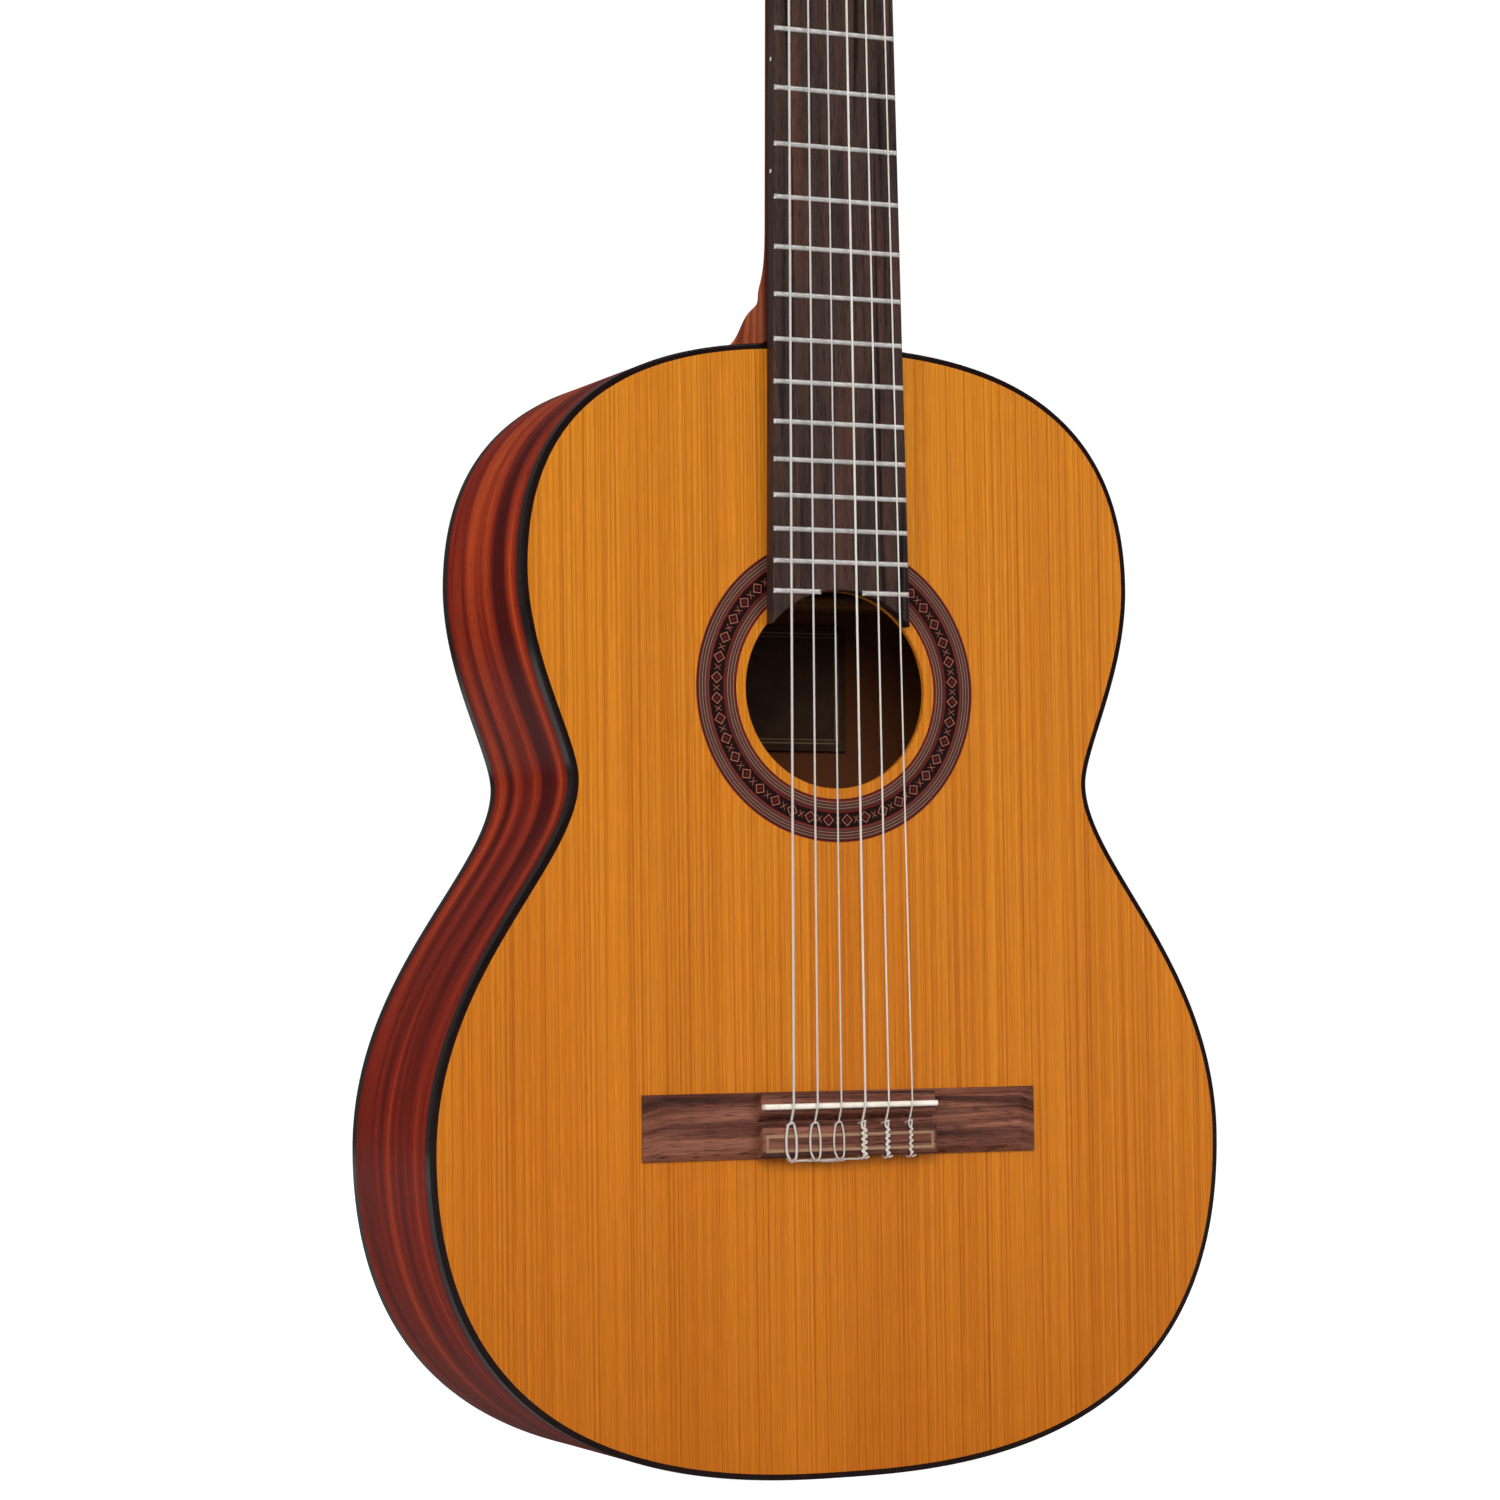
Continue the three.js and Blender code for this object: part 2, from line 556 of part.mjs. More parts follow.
function nut() {
  const top = -NUT.height;
  const shape = new THREE.Shape([
    v2(-GAP, NUT_Z), v2(-GAP, HEAD_ORIGIN_Z), v2(top + 1.2, HEAD_ORIGIN_Z), v2(top, HEAD_ORIGIN_Z - 2.5),
      v2(top, NUT_Z),
  ]);
  // Each slot's floor is level first, and then falls away towards the head.
  const floor = new THREE.Shape([
    v2(top - 1, NUT_Z - 1), v2(-NUT.slotHeight, NUT_Z - 1), v2(-NUT.slotHeight, NUT_Z + 2.6),
    v2(-NUT.slotHeight + 3, HEAD_ORIGIN_Z + 1), v2(top - 1, HEAD_ORIGIN_Z + 1),
  ]);
  const slots = numbers.map((number) => {
    const x = stringX(number, SPAN_AT_NUT);
    const half = radiusOf(number) + 0.4;
    return solid(alongX(floor, x - half, x + half));
  });
  return geometryOf(without(solid(alongX(shape, -BOARD.halfAtNut, BOARD.halfAtNut)), slots));
}

function saddle() {
  const { z, halfWidth, halfLength, height, seat } = SADDLE;
  const shape = new THREE.Shape([
    v2(-seat, z - halfWidth), v2(-seat, z + halfWidth), v2(-height + 0.5, z + halfWidth), v2(-height, z),
    v2(-height + 1.9, z - halfWidth),
  ]);
  return alongX(shape, -halfLength + GAP, halfLength - GAP);
}

// A long low base with bevelled ends, a block that holds the saddle, and behind a valley the drilled tie
// block.
function bridge() {
  const { halfLength, low, high, wing, block, bevel } = BRIDGE;
  const { halfWidth } = TIE_BLOCK;
  const edge = 2;
  const base = loft([0, 1].map((level) => {
    const inX = level * bevel;
    const inZ = level * edge;
    return [[-1, -1], [1, -1], [1, 1], [-1, 1]].map(([sideX, sideZ]) =>
      new THREE.Vector3(sideX * (halfLength - inX), -GAP - level * (wing - GAP),
        (low + high) / 2 + sideZ * ((high - low) / 2 - inZ)));
  }));
  const blocks = [
    solidBox([-halfWidth, -block, TIE_BLOCK.high - 2], [halfWidth, -1, high - 0.5]),
    solidBox([-halfWidth, -TIE_BLOCK.height, low + 0.5], [halfWidth, -1, TIE_BLOCK.high]),
  ];
  const saddleSlot = solidBox([-SADDLE.halfLength, -20, SADDLE.z - SADDLE.halfWidth - GAP],
    [SADDLE.halfLength, -SADDLE.seat + GAP, SADDLE.z + SADDLE.halfWidth + GAP]);
  const valley = new THREE.Shape([v2(-wing, TIE_BLOCK.high), v2(-wing, TIE_BLOCK.high + 2.2),
    v2(-block - 1, SADDLE.z - 2.6), v2(-20, SADDLE.z - 2.6), v2(-20, TIE_BLOCK.high)]);
  const holes = numbers.map((number) => {
    const hole = new THREE.CylinderGeometry(TIE_BLOCK.holeRadius, TIE_BLOCK.holeRadius, 30, 8)
      .rotateX(Math.PI / 2);
    return solid(hole.translate(stringX(number, SPAN_AT_SADDLE), -TIE_BLOCK.holeDepth - 0.6, low));
  });
  const trimRoom = plate(trimShape(GAP), -TIE_BLOCK.height - 1, -TIE_BLOCK.height + TRIM.thickness + GAP);
  return geometryOf(without(union([solid(base), ...blocks]), [
    saddleSlot, solid(alongX(valley, -halfWidth, halfWidth)), ...holes, solid(trimRoom),
  ]));
}

// The pale frame let into the top of the tie block; grow widens it on every side.
function trimShape(grow) {
  const { halfLength, low, high, strip } = TRIM;
  const shape = rectangle(halfLength + grow, low - grow, high + grow);
  shape.holes.push(new THREE.Path(rectangle(halfLength - strip - grow, low + strip + grow,
    high - strip - grow).getPoints()));
  return shape;
}

add(assembly, "neck", neck(), neckWood);
add(assembly, "heel_cap", heelCap(), blackWood);
add(assembly, "fretboard", fretboard(), rosewood);
add(assembly, "nut", nut(), bone);
add(assembly, "saddle", saddle(), bone);
add(assembly, "bridge", bridge(), rosewood);
add(assembly, "tie_block_trim",
  plate(trimShape(0), -TIE_BLOCK.height, -TIE_BLOCK.height + TRIM.thickness), paleWood);

// ---- Head, in its leaning frame -----------------------------------------------------------------

const head = new THREE.Group();
head.position.set(0, HEAD.drop, HEAD_ORIGIN_Z);
head.rotation.copy(headTurn);
assembly.add(head);

const veneer = solid(plate(headOutline(), -HEAD.veneer - GAP, -GAP, 4));
add(head, "head_veneer", geometryOf(without(veneer, [...headCuts, solidBox([-40, -5, -1], [40, 5, 1])])),
  rosewood);

// The side plate: rounded ends, holes for the roller shanks, and two drilled lugs for each worm shaft.
function tunerPlate() {
  const { low, high, halfWidth, thickness } = PLATE;
  const inner = HEAD.halfWidth + 0.3;
  const outer = inner + thickness;
  const outline = new THREE.Shape();
  outline.absarc(0, high - halfWidth, halfWidth, 0, Math.PI, false);
  outline.absarc(0, low + halfWidth, halfWidth, Math.PI, 2 * Math.PI, false);
  outline.holes.push(...rollerHeights.map((z) => circlePath(0, z, ROLLER.shank + 0.5, 8)));
  const lug = new THREE.Shape();
  lug.moveTo(outer - 0.5, -3);
  lug.lineTo(WORM.x, -3);
  lug.absarc(WORM.x, 0, 3, -Math.PI / 2, Math.PI / 2, false);
  lug.lineTo(outer - 0.5, 3);
  lug.holes.push(circlePath(WORM.x, 0, WORM.shaft + 0.35, 8));
  const lugs = rollerHeights.flatMap((z) => [[-5.9, -4.4], [4.4, 5.9]].map(([front, rear]) =>
    solid(plate(lug, front, rear, 3).translate(0, 0, z - wormDistance))));
  return geometryOf(union([solid(alongX(outline, inner, outer, 4)), ...lugs]));
}

const gearRadius = (TUNER.teeth * TUNER.module) / 2;
const threadPitch = Math.PI * TUNER.module;
const wormDistance = gearRadius + WORM.pitchRadius + 0.1;

// The worm wheel. Its teeth lean by the thread's lead, and a gap between two of them points down at the worm.
function gear() {
  const tip = gearRadius + GEAR.addendum;
  const root = gearRadius - GEAR.dedendum;
  const halfToothAt = (radius) =>
    (threadPitch * GEAR.toothShare) / 2 + (gearRadius - radius) * PRESSURE_ANGLE;
  const points = [];
  for (let tooth = 0; tooth < TUNER.teeth; tooth++) {
    const middle = -Math.PI / 2 + (2 * Math.PI * (tooth + 0.5)) / TUNER.teeth;
    [[root, -1], [tip, -1], [tip, 1], [root, 1]].forEach(([radius, side]) => {
      const angle = middle + (side * halfToothAt(radius)) / radius;
      points.push(v2(radius * Math.cos(angle), radius * Math.sin(angle)));
    });
  }
  const shape = new THREE.Shape(points);
  shape.holes.push(circlePath(0, 0, GEAR.bore, 8));
  const teeth = alongX(shape, -GEAR.thickness / 2, GEAR.thickness / 2);
  const leanPerMm = threadPitch / (2 * Math.PI * WORM.pitchRadius) / gearRadius;
  const position = teeth.attributes.position;
  for (let i = 0; i < position.count; i++) {
    const turn = leanPerMm * position.getX(i);
    const y = position.getY(i);
    const z = position.getZ(i);
    position.setY(i, y * Math.cos(turn) - z * Math.sin(turn));
    position.setZ(i, y * Math.sin(turn) + z * Math.cos(turn));
  }
  return teeth.translate(WORM.x, 0, 0);
}

// A right-handed thread on its shaft, which runs along Y and back to the button.
function wormShaft() {
  const stepsPerTurn = 8;
  const halfWidthAt = (radius) => threadPitch * 0.2 + (WORM.pitchRadius - radius) * PRESSURE_ANGLE;
  const rootRadius = WORM.shaft - 0.4;
  const section = [[rootRadius, 1], [WORM.outer, 1], [WORM.outer, -1], [rootRadius, -1]];
  const steps = WORM.turns * stepsPerTurn;
  const rings = Array.from({ length: steps + 1 }, (_, i) => {
    const angle = (i / stepsPerTurn - WORM.turns / 2) * 2 * Math.PI;
    return section.map(([radius, side]) => new THREE.Vector3(radius * Math.sin(angle),
      (threadPitch * angle) / (2 * Math.PI) + side * halfWidthAt(radius), radius * Math.cos(angle)));
  });
  const { shaft, shaftStart, shaftEnd } = WORM;
  const spindle = new THREE.CylinderGeometry(shaft, shaft, shaftEnd - shaftStart, 10)
    .translate(0, (shaftStart + shaftEnd) / 2, 0);
  return geometryOf(solid(loft(rings)).add(solid(spindle)));
}

// The button: a round collar that swells into a flat oval grip. Its bore takes the end of the shaft.
function button() {
  const sizes = [[0, 3.1, 3.1], [1.8, 3.1, 3.1], [3.4, 5.6, 4.1], [5.6, 8, 4.8], [11.5, 8.4, 4.9],
    [13.6, 7, 4.2], [14.8, 4, 2.6]];
  const sides = 12;
  const rings = sizes.map(([y, halfWidth, halfThickness]) => Array.from({ length: sides }, (_, i) => {
    const angle = (2 * Math.PI * i) / sides;
    return new THREE.Vector3(halfThickness * Math.sin(angle), BUTTON_START + y, halfWidth * Math.cos(angle));
  }));
  const bore = new THREE.CylinderGeometry(WORM.shaft + GAP, WORM.shaft + GAP,
    WORM.shaftEnd - BUTTON_START + 1.5, 8);
  return geometryOf(solid(loft(rings))
    .subtract(solid(bore.translate(0, (WORM.shaftEnd + BUTTON_START - 0.5) / 2, 0))));
}

function stringRoller() {
  const { pinStart, pin, barrelStart, barrel, barrelEnd, shank, shankEnd, tenon, tenonEnd } = ROLLER;
  const screwHole = { radius: 1.2, start: tenonEnd - 5 };
  const body = turnedX([
    [pinStart, 0], [pinStart, pin], [barrelStart, pin], [barrelStart, barrel], [barrelEnd, barrel],
      [barrelEnd, shank],
    [shankEnd, shank], [shankEnd, tenon], [tenonEnd, tenon], [tenonEnd, screwHole.radius],
    [screwHole.start, screwHole.radius], [screwHole.start, 0],
  ], 10);
  const stringHole = new THREE.CylinderGeometry(1, 1, 20, 6).translate(SLOT.centre, 0, 0);
  return geometryOf(solid(body).subtract(solid(stringHole)));
}

// The cheese-head screw that holds the gear on its tenon.
function gearScrew() {
  const shaft = 0.95;
  const headRadius = 3.2;
  const headStart = ROLLER.tenonEnd + 0.5;
  const headEnd = headStart + 1.4;
  return turnedX([
    [headStart - 4.5, 0], [headStart - 4.5, shaft], [headStart, shaft], [headStart, headRadius],
    [headEnd - 0.4, headRadius], [headEnd, headRadius - 0.6], [headEnd, 0],
  ], 8);
}

// String n's machine: 6, 5 and 4 climb the bass side, and 1, 2 and 3 the treble side.
const machines = numbers.map((number) => {
  const treble = number <= 3;
  return { number, side: treble ? 1 : -1, z: rollerHeights[treble ? number - 1 : 6 - number] };
});

for (const side of [-1, 1]) {
  const mesh = add(head, side < 0 ? "tuner_plate_bass" : "tuner_plate_treble", tunerPlate(), brass);
  mesh.position.y = TUNER.axisDepth;
  mesh.rotation.z = side < 0 ? Math.PI : 0;
}

for (const { number, side, z } of machines) {
  const drum = new THREE.Group(); // what turns about X, with the string
  drum.position.set(0, TUNER.axisDepth, z);
  drum.rotation.z = side < 0 ? Math.PI : 0;
  head.add(drum);
  add(drum, `string_roller_${number}`, stringRoller(), rollerPlastic);
  add(drum, `tuner_gear_${number}`, gear(), brass);
  add(drum, `gear_screw_${number}`, gearScrew(), steel);

  const peg = new THREE.Group(); // what the fingers turn
  peg.position.set(side * WORM.x, TUNER.axisDepth, z - wormDistance);
  head.add(peg);
  add(peg, `worm_shaft_${number}`, wormShaft(), steel);
  add(peg, `tuner_button_${number}`, button(), pearl);
}

// ---- Strings ------------------------------------------------------------------------------------

// Where a string leaves the nut, it runs straight to the front of its roller and touches it there.
function rollerTouch({ number, side, z }) {
  const radius = ROLLER.barrel + radiusOf(number) + 0.1;
  const toHead = headFrame.clone().invert();
  const start = new THREE.Vector3(stringX(number, SPAN_AT_NUT), -NUT.slotHeight - radiusOf(number) - 0.1,
    HEAD_ORIGIN_Z - 2);
  const from = start.clone().applyMatrix4(toHead);
  const dy = TUNER.axisDepth - from.y;
  const dz = z - from.z;
  const distance = Math.hypot(dy, dz);
  const angle = Math.atan2(dy, dz) - Math.asin(radius / distance);
  const reach = Math.sqrt(distance ** 2 - radius ** 2);
  const x = side * (z === rollerHeights[2] ? 21.5 : 18);
  return new THREE.Vector3(x, from.y + reach * Math.sin(angle), from.z + reach * Math.cos(angle))
    .applyMatrix4(headFrame);
}

// Over the tie block, round behind it and forward through its hole, over the saddle and the nut, and to
// the roller.
function stringRoute(machine) {
  const { number } = machine;
  const radius = radiusOf(number);
  const x = stringX(number, SPAN_AT_SADDLE);
  const nutX = stringX(number, SPAN_AT_NUT);
  const tail = BRIDGE.low + 0.5;
  const over = -TIE_BLOCK.height - radius - 0.1;
  const hole = -TIE_BLOCK.holeDepth - 0.6;
  const rest = -SADDLE.height - radius - 0.1;
  const nutRest = -NUT.slotHeight - radius - 0.1;
  return [
    [x, over, TIE_BLOCK.high - 3], [x, over, tail - 0.1], [x, over + 0.5, tail - radius - 0.6],
      [x, hole - 1.2, tail - radius - 0.7],
    [x, hole, tail + 0.6], [x, hole, TIE_BLOCK.high + 0.6], [x, rest, SADDLE.z], [nutX, nutRest, NUT_Z],
    [nutX, nutRest, HEAD_ORIGIN_Z - 2],
  ].map((p) => new THREE.Vector3(...p)).concat(rollerTouch(machine));
}

for (const machine of machines) {
  const material = machine.number <= 3 ? nylon : woundString;
  add(assembly, `string_${machine.number}`, cord(stringRoute(machine), radiusOf(machine.number)), material);
}

// The depth runs from the strings over the saddle to the back at the tail; its middle becomes y 0.
assembly.position.y = -(DEPTH_AT_TAIL - SADDLE.height - 1) / 2;

export default guitar;
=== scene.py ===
"""A full-size classical guitar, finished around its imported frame.

Lengths are in millimetres. x runs across to the treble side, y from the soundboard's face to the
back, and z from the tail up the neck; place() turns them to the frame's metres. The head has its own
leaning coordinates, with y into its wood and z away from the nut, which lean() turns to the body's.
"""

import math

import bmesh
import bpy
import numpy as np
from mathutils import Matrix, Vector
from mathutils.geometry import tessellate_polygon


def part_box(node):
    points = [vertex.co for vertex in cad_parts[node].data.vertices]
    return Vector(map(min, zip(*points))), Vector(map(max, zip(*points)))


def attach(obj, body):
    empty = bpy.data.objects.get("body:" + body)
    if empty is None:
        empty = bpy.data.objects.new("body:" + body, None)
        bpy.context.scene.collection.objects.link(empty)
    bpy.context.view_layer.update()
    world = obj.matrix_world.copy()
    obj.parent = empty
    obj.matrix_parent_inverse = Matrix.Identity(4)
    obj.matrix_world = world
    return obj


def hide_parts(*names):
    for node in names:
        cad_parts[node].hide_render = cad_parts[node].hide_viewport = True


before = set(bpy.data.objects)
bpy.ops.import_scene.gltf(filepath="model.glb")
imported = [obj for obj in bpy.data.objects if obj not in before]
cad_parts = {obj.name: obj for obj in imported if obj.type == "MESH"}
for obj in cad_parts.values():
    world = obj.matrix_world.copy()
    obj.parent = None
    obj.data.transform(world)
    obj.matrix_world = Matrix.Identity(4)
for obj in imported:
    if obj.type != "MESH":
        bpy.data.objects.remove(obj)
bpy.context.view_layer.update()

# ---- Driving dimensions, in millimetres ----------------------------------------------------------

MM = 0.001
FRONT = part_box("soundboard")[0].y  # the soundboard's face in the frame, in metres
GAP = 0.2

BODY_LENGTH = 485.0
LOWER_BOUT, WAIST, UPPER_BOUT = (186.0, 141.0), (122.0, 296.0), (144.0, 384.0)
OUTLINE_CURVES = (
    ((0, 0), (50, 0), (LOWER_BOUT[0], 0), LOWER_BOUT),
    (LOWER_BOUT, (LOWER_BOUT[0], 217), (WAIST[0], 261), WAIST),
    (WAIST, (WAIST[0], 312), (UPPER_BOUT[0], 346), UPPER_BOUT),
    (UPPER_BOUT, (UPPER_BOUT[0], 485), (42, BODY_LENGTH), (0, BODY_LENGTH)),
)
DEPTH_AT_TAIL, DEPTH_AT_NECK = 102.0, 96.0
TOP_THICKNESS, BACK_THICKNESS, RIB_THICKNESS = 2.6, 2.6, 2.2
BINDING_WIDTH, BINDING_HEIGHT = 2.6, 6.0
LINING_WIDTH, LINING_HEIGHT, KERF_PITCH = 6.0, 14.0, 5.0
BLOCK_HALF_WIDTH, BLOCK_LENGTH = 30.0, 26.0
GRAFT_HALF_WIDTH, WEB_HALF_WIDTH = 3.2, 11.0
HOLE_Z, HOLE_RADIUS = 335.6, 42.4
ROSETTE_INNER, ROSETTE_OUTER, ROSETTE_DEPTH = 47.0, 65.6, 1.2

SCALE_LENGTH = 650.0
NUT_Z = BODY_LENGTH + SCALE_LENGTH / 2
NUT_LENGTH, NUT_HEIGHT, NUT_SLOT_HEIGHT = 5.0, 9.6, 8.6
BOARD_THICKNESS, BOARD_LENGTH = 7.0, 447.0
BOARD_HALF_AT_NUT, BOARD_HALF_AT_JOINT = 26.0, 30.75
FRETS, FRET_HALF_WIDTH, FRET_HEIGHT = 19, 1.1, 1.1
HEEL_CAP_LENGTH, HEEL_RISE, HEEL_HALF_WIDTH, HEEL_FLARE = 12.0, 50.0, 10.5, 32.0
NECK_DEPTH_AT_NUT, NECK_DEPTH_AT_JOINT = 15.0, 17.0

HEAD_Z = NUT_Z + NUT_LENGTH
HEAD_TILT, HEAD_DROP = math.radians(15), 2.0
HEAD_LENGTH, HEAD_HALF_WIDTH, HEAD_THICKNESS, VENEER = 185.0, 36.0, 19.0, 2.0
SLOT_CENTRE, SLOT_HALF_WIDTH, SLOT_START, SLOT_END = 18.5, 7.5, 34.0, 136.0
ROLLER_HEIGHTS, ROLLER_DEPTH, BARREL = (50.0, 85.0, 120.0), 9.5, 4.8
GEAR_TEETH, GEAR_MODULE = 14, 0.7
WORM_X, WORM_PITCH_RADIUS, WORM_SHAFT = 41.0, 2.4, 1.5
PLATE_INNER, PLATE_THICKNESS, PLATE_LOW, PLATE_HIGH, PLATE_HALF_WIDTH = 36.3, 1.3, 30.0, 134.0, 6.5

BRIDGE_HALF_LENGTH, BRIDGE_LOW, BRIDGE_HIGH = 92.5, 136.0, 164.0
TIE_BLOCK_HALF, TIE_BLOCK_HEIGHT, TIE_BLOCK_HIGH, TIE_HOLE_DEPTH = 41.0, 8.8, 149.5, 4.8
SADDLE_Z, SADDLE_HEIGHT = 158.0, 11.4
STRING_DIAMETERS = (0.72, 0.82, 1.02, 0.75, 0.9, 1.1)
SPAN_AT_NUT, SPAN_AT_SADDLE = 42.0, 56.0

# ---- Points and meshes ---------------------------------------------------------------------------


def place(points):
    """Body millimetres to the frame's metres."""
    return np.asarray(points, float) * MM + np.array([0.0, FRONT, 0.0])


def lean(points):
    """Head millimetres to body millimetres: turned back by the tilt about x, then set behind the nut."""
    x, y, z = np.moveaxis(np.asarray(points, float), -1, 0)
    cos, sin = math.cos(HEAD_TILT), math.sin(HEAD_TILT)
    return np.stack([x, HEAD_DROP + y * cos + z * sin, HEAD_Z - y * sin + z * cos], -1)


def back_depth(z):
    """The back's outer face, which comes forward evenly from the tail to the neck."""
    return DEPTH_AT_TAIL + (DEPTH_AT_NECK - DEPTH_AT_TAIL) * np.asarray(z) / BODY_LENGTH


def at(value, z):
    """A depth at each z, from a number or from a function of z."""
    return value(z) if callable(value) else np.full_like(z, float(value))


def along_z(points):
    """Grain coordinates in metres: u up the piece, v across it and round its edges."""
    return np.stack([points[..., 2], points[..., 0] + 0.8 * points[..., 1]], -1) * MM


def along_x(points):
    """Grain coordinates in metres: u across the body, v up it and round the edges."""
    return np.stack([points[..., 0], points[..., 2] + 0.8 * points[..., 1]], -1) * MM


def grid(points, uv=along_z, caps=False):
    """A shell over an array of rows of points. A closed row repeats its first point; caps fill the end
    rows."""
    points = np.asarray(points, float)
    rows, columns = points.shape[:2]
    index = np.arange(rows * columns).reshape(rows, columns)
    corners = [index[:-1, :-1], index[:-1, 1:], index[1:, 1:], index[1:, :-1]]
    faces = np.stack(corners, -1).reshape(-1, 4).tolist()
    if caps:
        faces += [index[0, :-1].tolist(), index[-1, :-1].tolist()]
    coordinates = uv(points) if callable(uv) else np.asarray(uv, float)
    return points.reshape(-1, 3), faces, coordinates.reshape(-1, 2)


def mesh_of(name, shells, turned=None):
    """Joins shells into one mesh in metres: seams and poles are merged, and every shell faces outwards."""
    points, faces, coordinates, start = [], [], [], 0
    for shell_points, shell_faces, shell_uv in shells:
        points.append(shell_points if turned is None else turned(shell_points))
        coordinates.append(shell_uv)
        faces += [[start + i for i in face] for face in shell_faces]
        start += len(shell_points)
    mesh = bpy.data.meshes.new(name)
    mesh.from_pydata(place(np.concatenate(points)).tolist(), [], faces)
    corner = np.empty(len(mesh.loops), np.int32)
    mesh.loops.foreach_get("vertex_index", corner)
    layer = mesh.uv_layers.new(name="Grain")
    layer.data.foreach_set("uv", np.concatenate(coordinates)[corner].astype(np.float32).ravel())
    work = bmesh.new()
    work.from_mesh(mesh)
    bmesh.ops.remove_doubles(work, verts=work.verts, dist=2e-6)
    bmesh.ops.dissolve_degenerate(work, dist=1e-7, edges=work.edges)
    bmesh.ops.recalc_face_normals(work, faces=work.faces)
    work.to_mesh(mesh)
    work.free()
    return mesh


def smooth(mesh, sharp_angle):
    """Smooth shading, except over edges that turn by more than the angle in degrees."""
    mesh.shade_smooth()
    mesh.set_sharp_from_angle(angle=math.radians(sharp_angle))


def piece(name, shells, material, body="guitar", replaces=(), sharp_angle=32, turned=None):
    """One visible piece, from shells or from a finished mesh, riding on a body of the frame."""
    mesh = shells if isinstance(shells, bpy.types.Mesh) else mesh_of(name, shells, turned)
    mesh.materials.clear()
    mesh.materials.append(material)
    smooth(mesh, sharp_angle)
    made = bpy.data.objects.new(name, mesh)
    bpy.context.scene.collection.objects.link(made)
    flats = made.modifiers.new("even_flats", "WEIGHTED_NORMAL")
    flats.keep_sharp = True
    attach(made, body)
    if replaces:
        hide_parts(*([replaces] if isinstance(replaces, str) else replaces))
    return made


def carve(mesh, steps):
    """The mesh joined to, or cut by, each (operation, tool mesh) in turn."""
    for operation, tool in steps:
        block = bpy.data.objects.new("block", mesh)
        cutter = bpy.data.objects.new("cutter", tool)
        for made in (block, cutter):
            bpy.context.scene.collection.objects.link(made)
        change = block.modifiers.new("change", "BOOLEAN")
        change.operation, change.object, change.solver = operation, cutter, "EXACT"
        graph = bpy.context.evaluated_depsgraph_get()
        mesh = bpy.data.meshes.new_from_object(block.evaluated_get(graph))
        for made in (block, cutter):
            bpy.data.objects.remove(made)
    return mesh


# ---- Shapes --------------------------------------------------------------------------------------


def bezier(control, steps):
    """Points of a curve with two, three or four control points, by Bernstein's weights."""
    control = np.asarray(control, float)
    n = len(control) - 1
    t = np.linspace(0, 1, steps + 1)[:, None]
    weights = np.hstack([math.comb(n, k) * t**k * (1 - t) ** (n - k) for k in range(n + 1)])
    return weights @ control


def through(points, steps=8):
    """A smooth line through points: between neighbours, a cubic whose slopes come from the points
    around."""
    points = np.asarray(points, float)
    ends = np.vstack([2 * points[0] - points[1], points, 2 * points[-1] - points[-2]])
    before, first, second, after = ends[:-3], ends[1:-2], ends[2:-1], ends[3:]
    t = np.linspace(0, 1, steps, endpoint=False)[None, :, None]
    before, first, second, after = (p[:, None] for p in (before, first, second, after))
    bend = 2 * before - 5 * first + 4 * second - after
    made = first + 0.5 * t * (second - before + t * (bend + t * (3 * (first - second) + after - before)))
    return np.vstack([made.reshape(-1, points.shape[1]), points[-1]])


def close(loop):
    """A loop with its first point again at the end."""
    return np.vstack([loop, loop[:1]])


def inward(loop):
    """Unit steps into the material on a loop's left, lengthened at corners so that an inset keeps its
    width."""
    before, after = loop - np.roll(loop, 1, 0), np.roll(loop, -1, 0) - loop
    before /= np.linalg.norm(before, axis=1, keepdims=True)
    after /= np.linalg.norm(after, axis=1, keepdims=True)
    middle = before + after
    middle /= np.linalg.norm(middle, axis=1, keepdims=True)
    stretch = 1 / np.clip((middle * after).sum(1, keepdims=True), 0.5, 1)
    return np.stack([-middle[:, 1], middle[:, 0]], -1) * stretch


def anticlockwise(loop):
    """The loop, reversed if x z' - z x' summed over neighbouring points is negative."""
    x, z = loop.T
    return loop if (x * np.roll(z, -1) - z * np.roll(x, -1)).sum() > 0 else loop[::-1]


def circle(x, z, radius, count=96):
    """Points at equal turns about a centre, all at one radius."""
    angle = np.arange(count) * 2 * np.pi / count
    return np.stack([x + radius * np.cos(angle), z + radius * np.sin(angle)], -1)


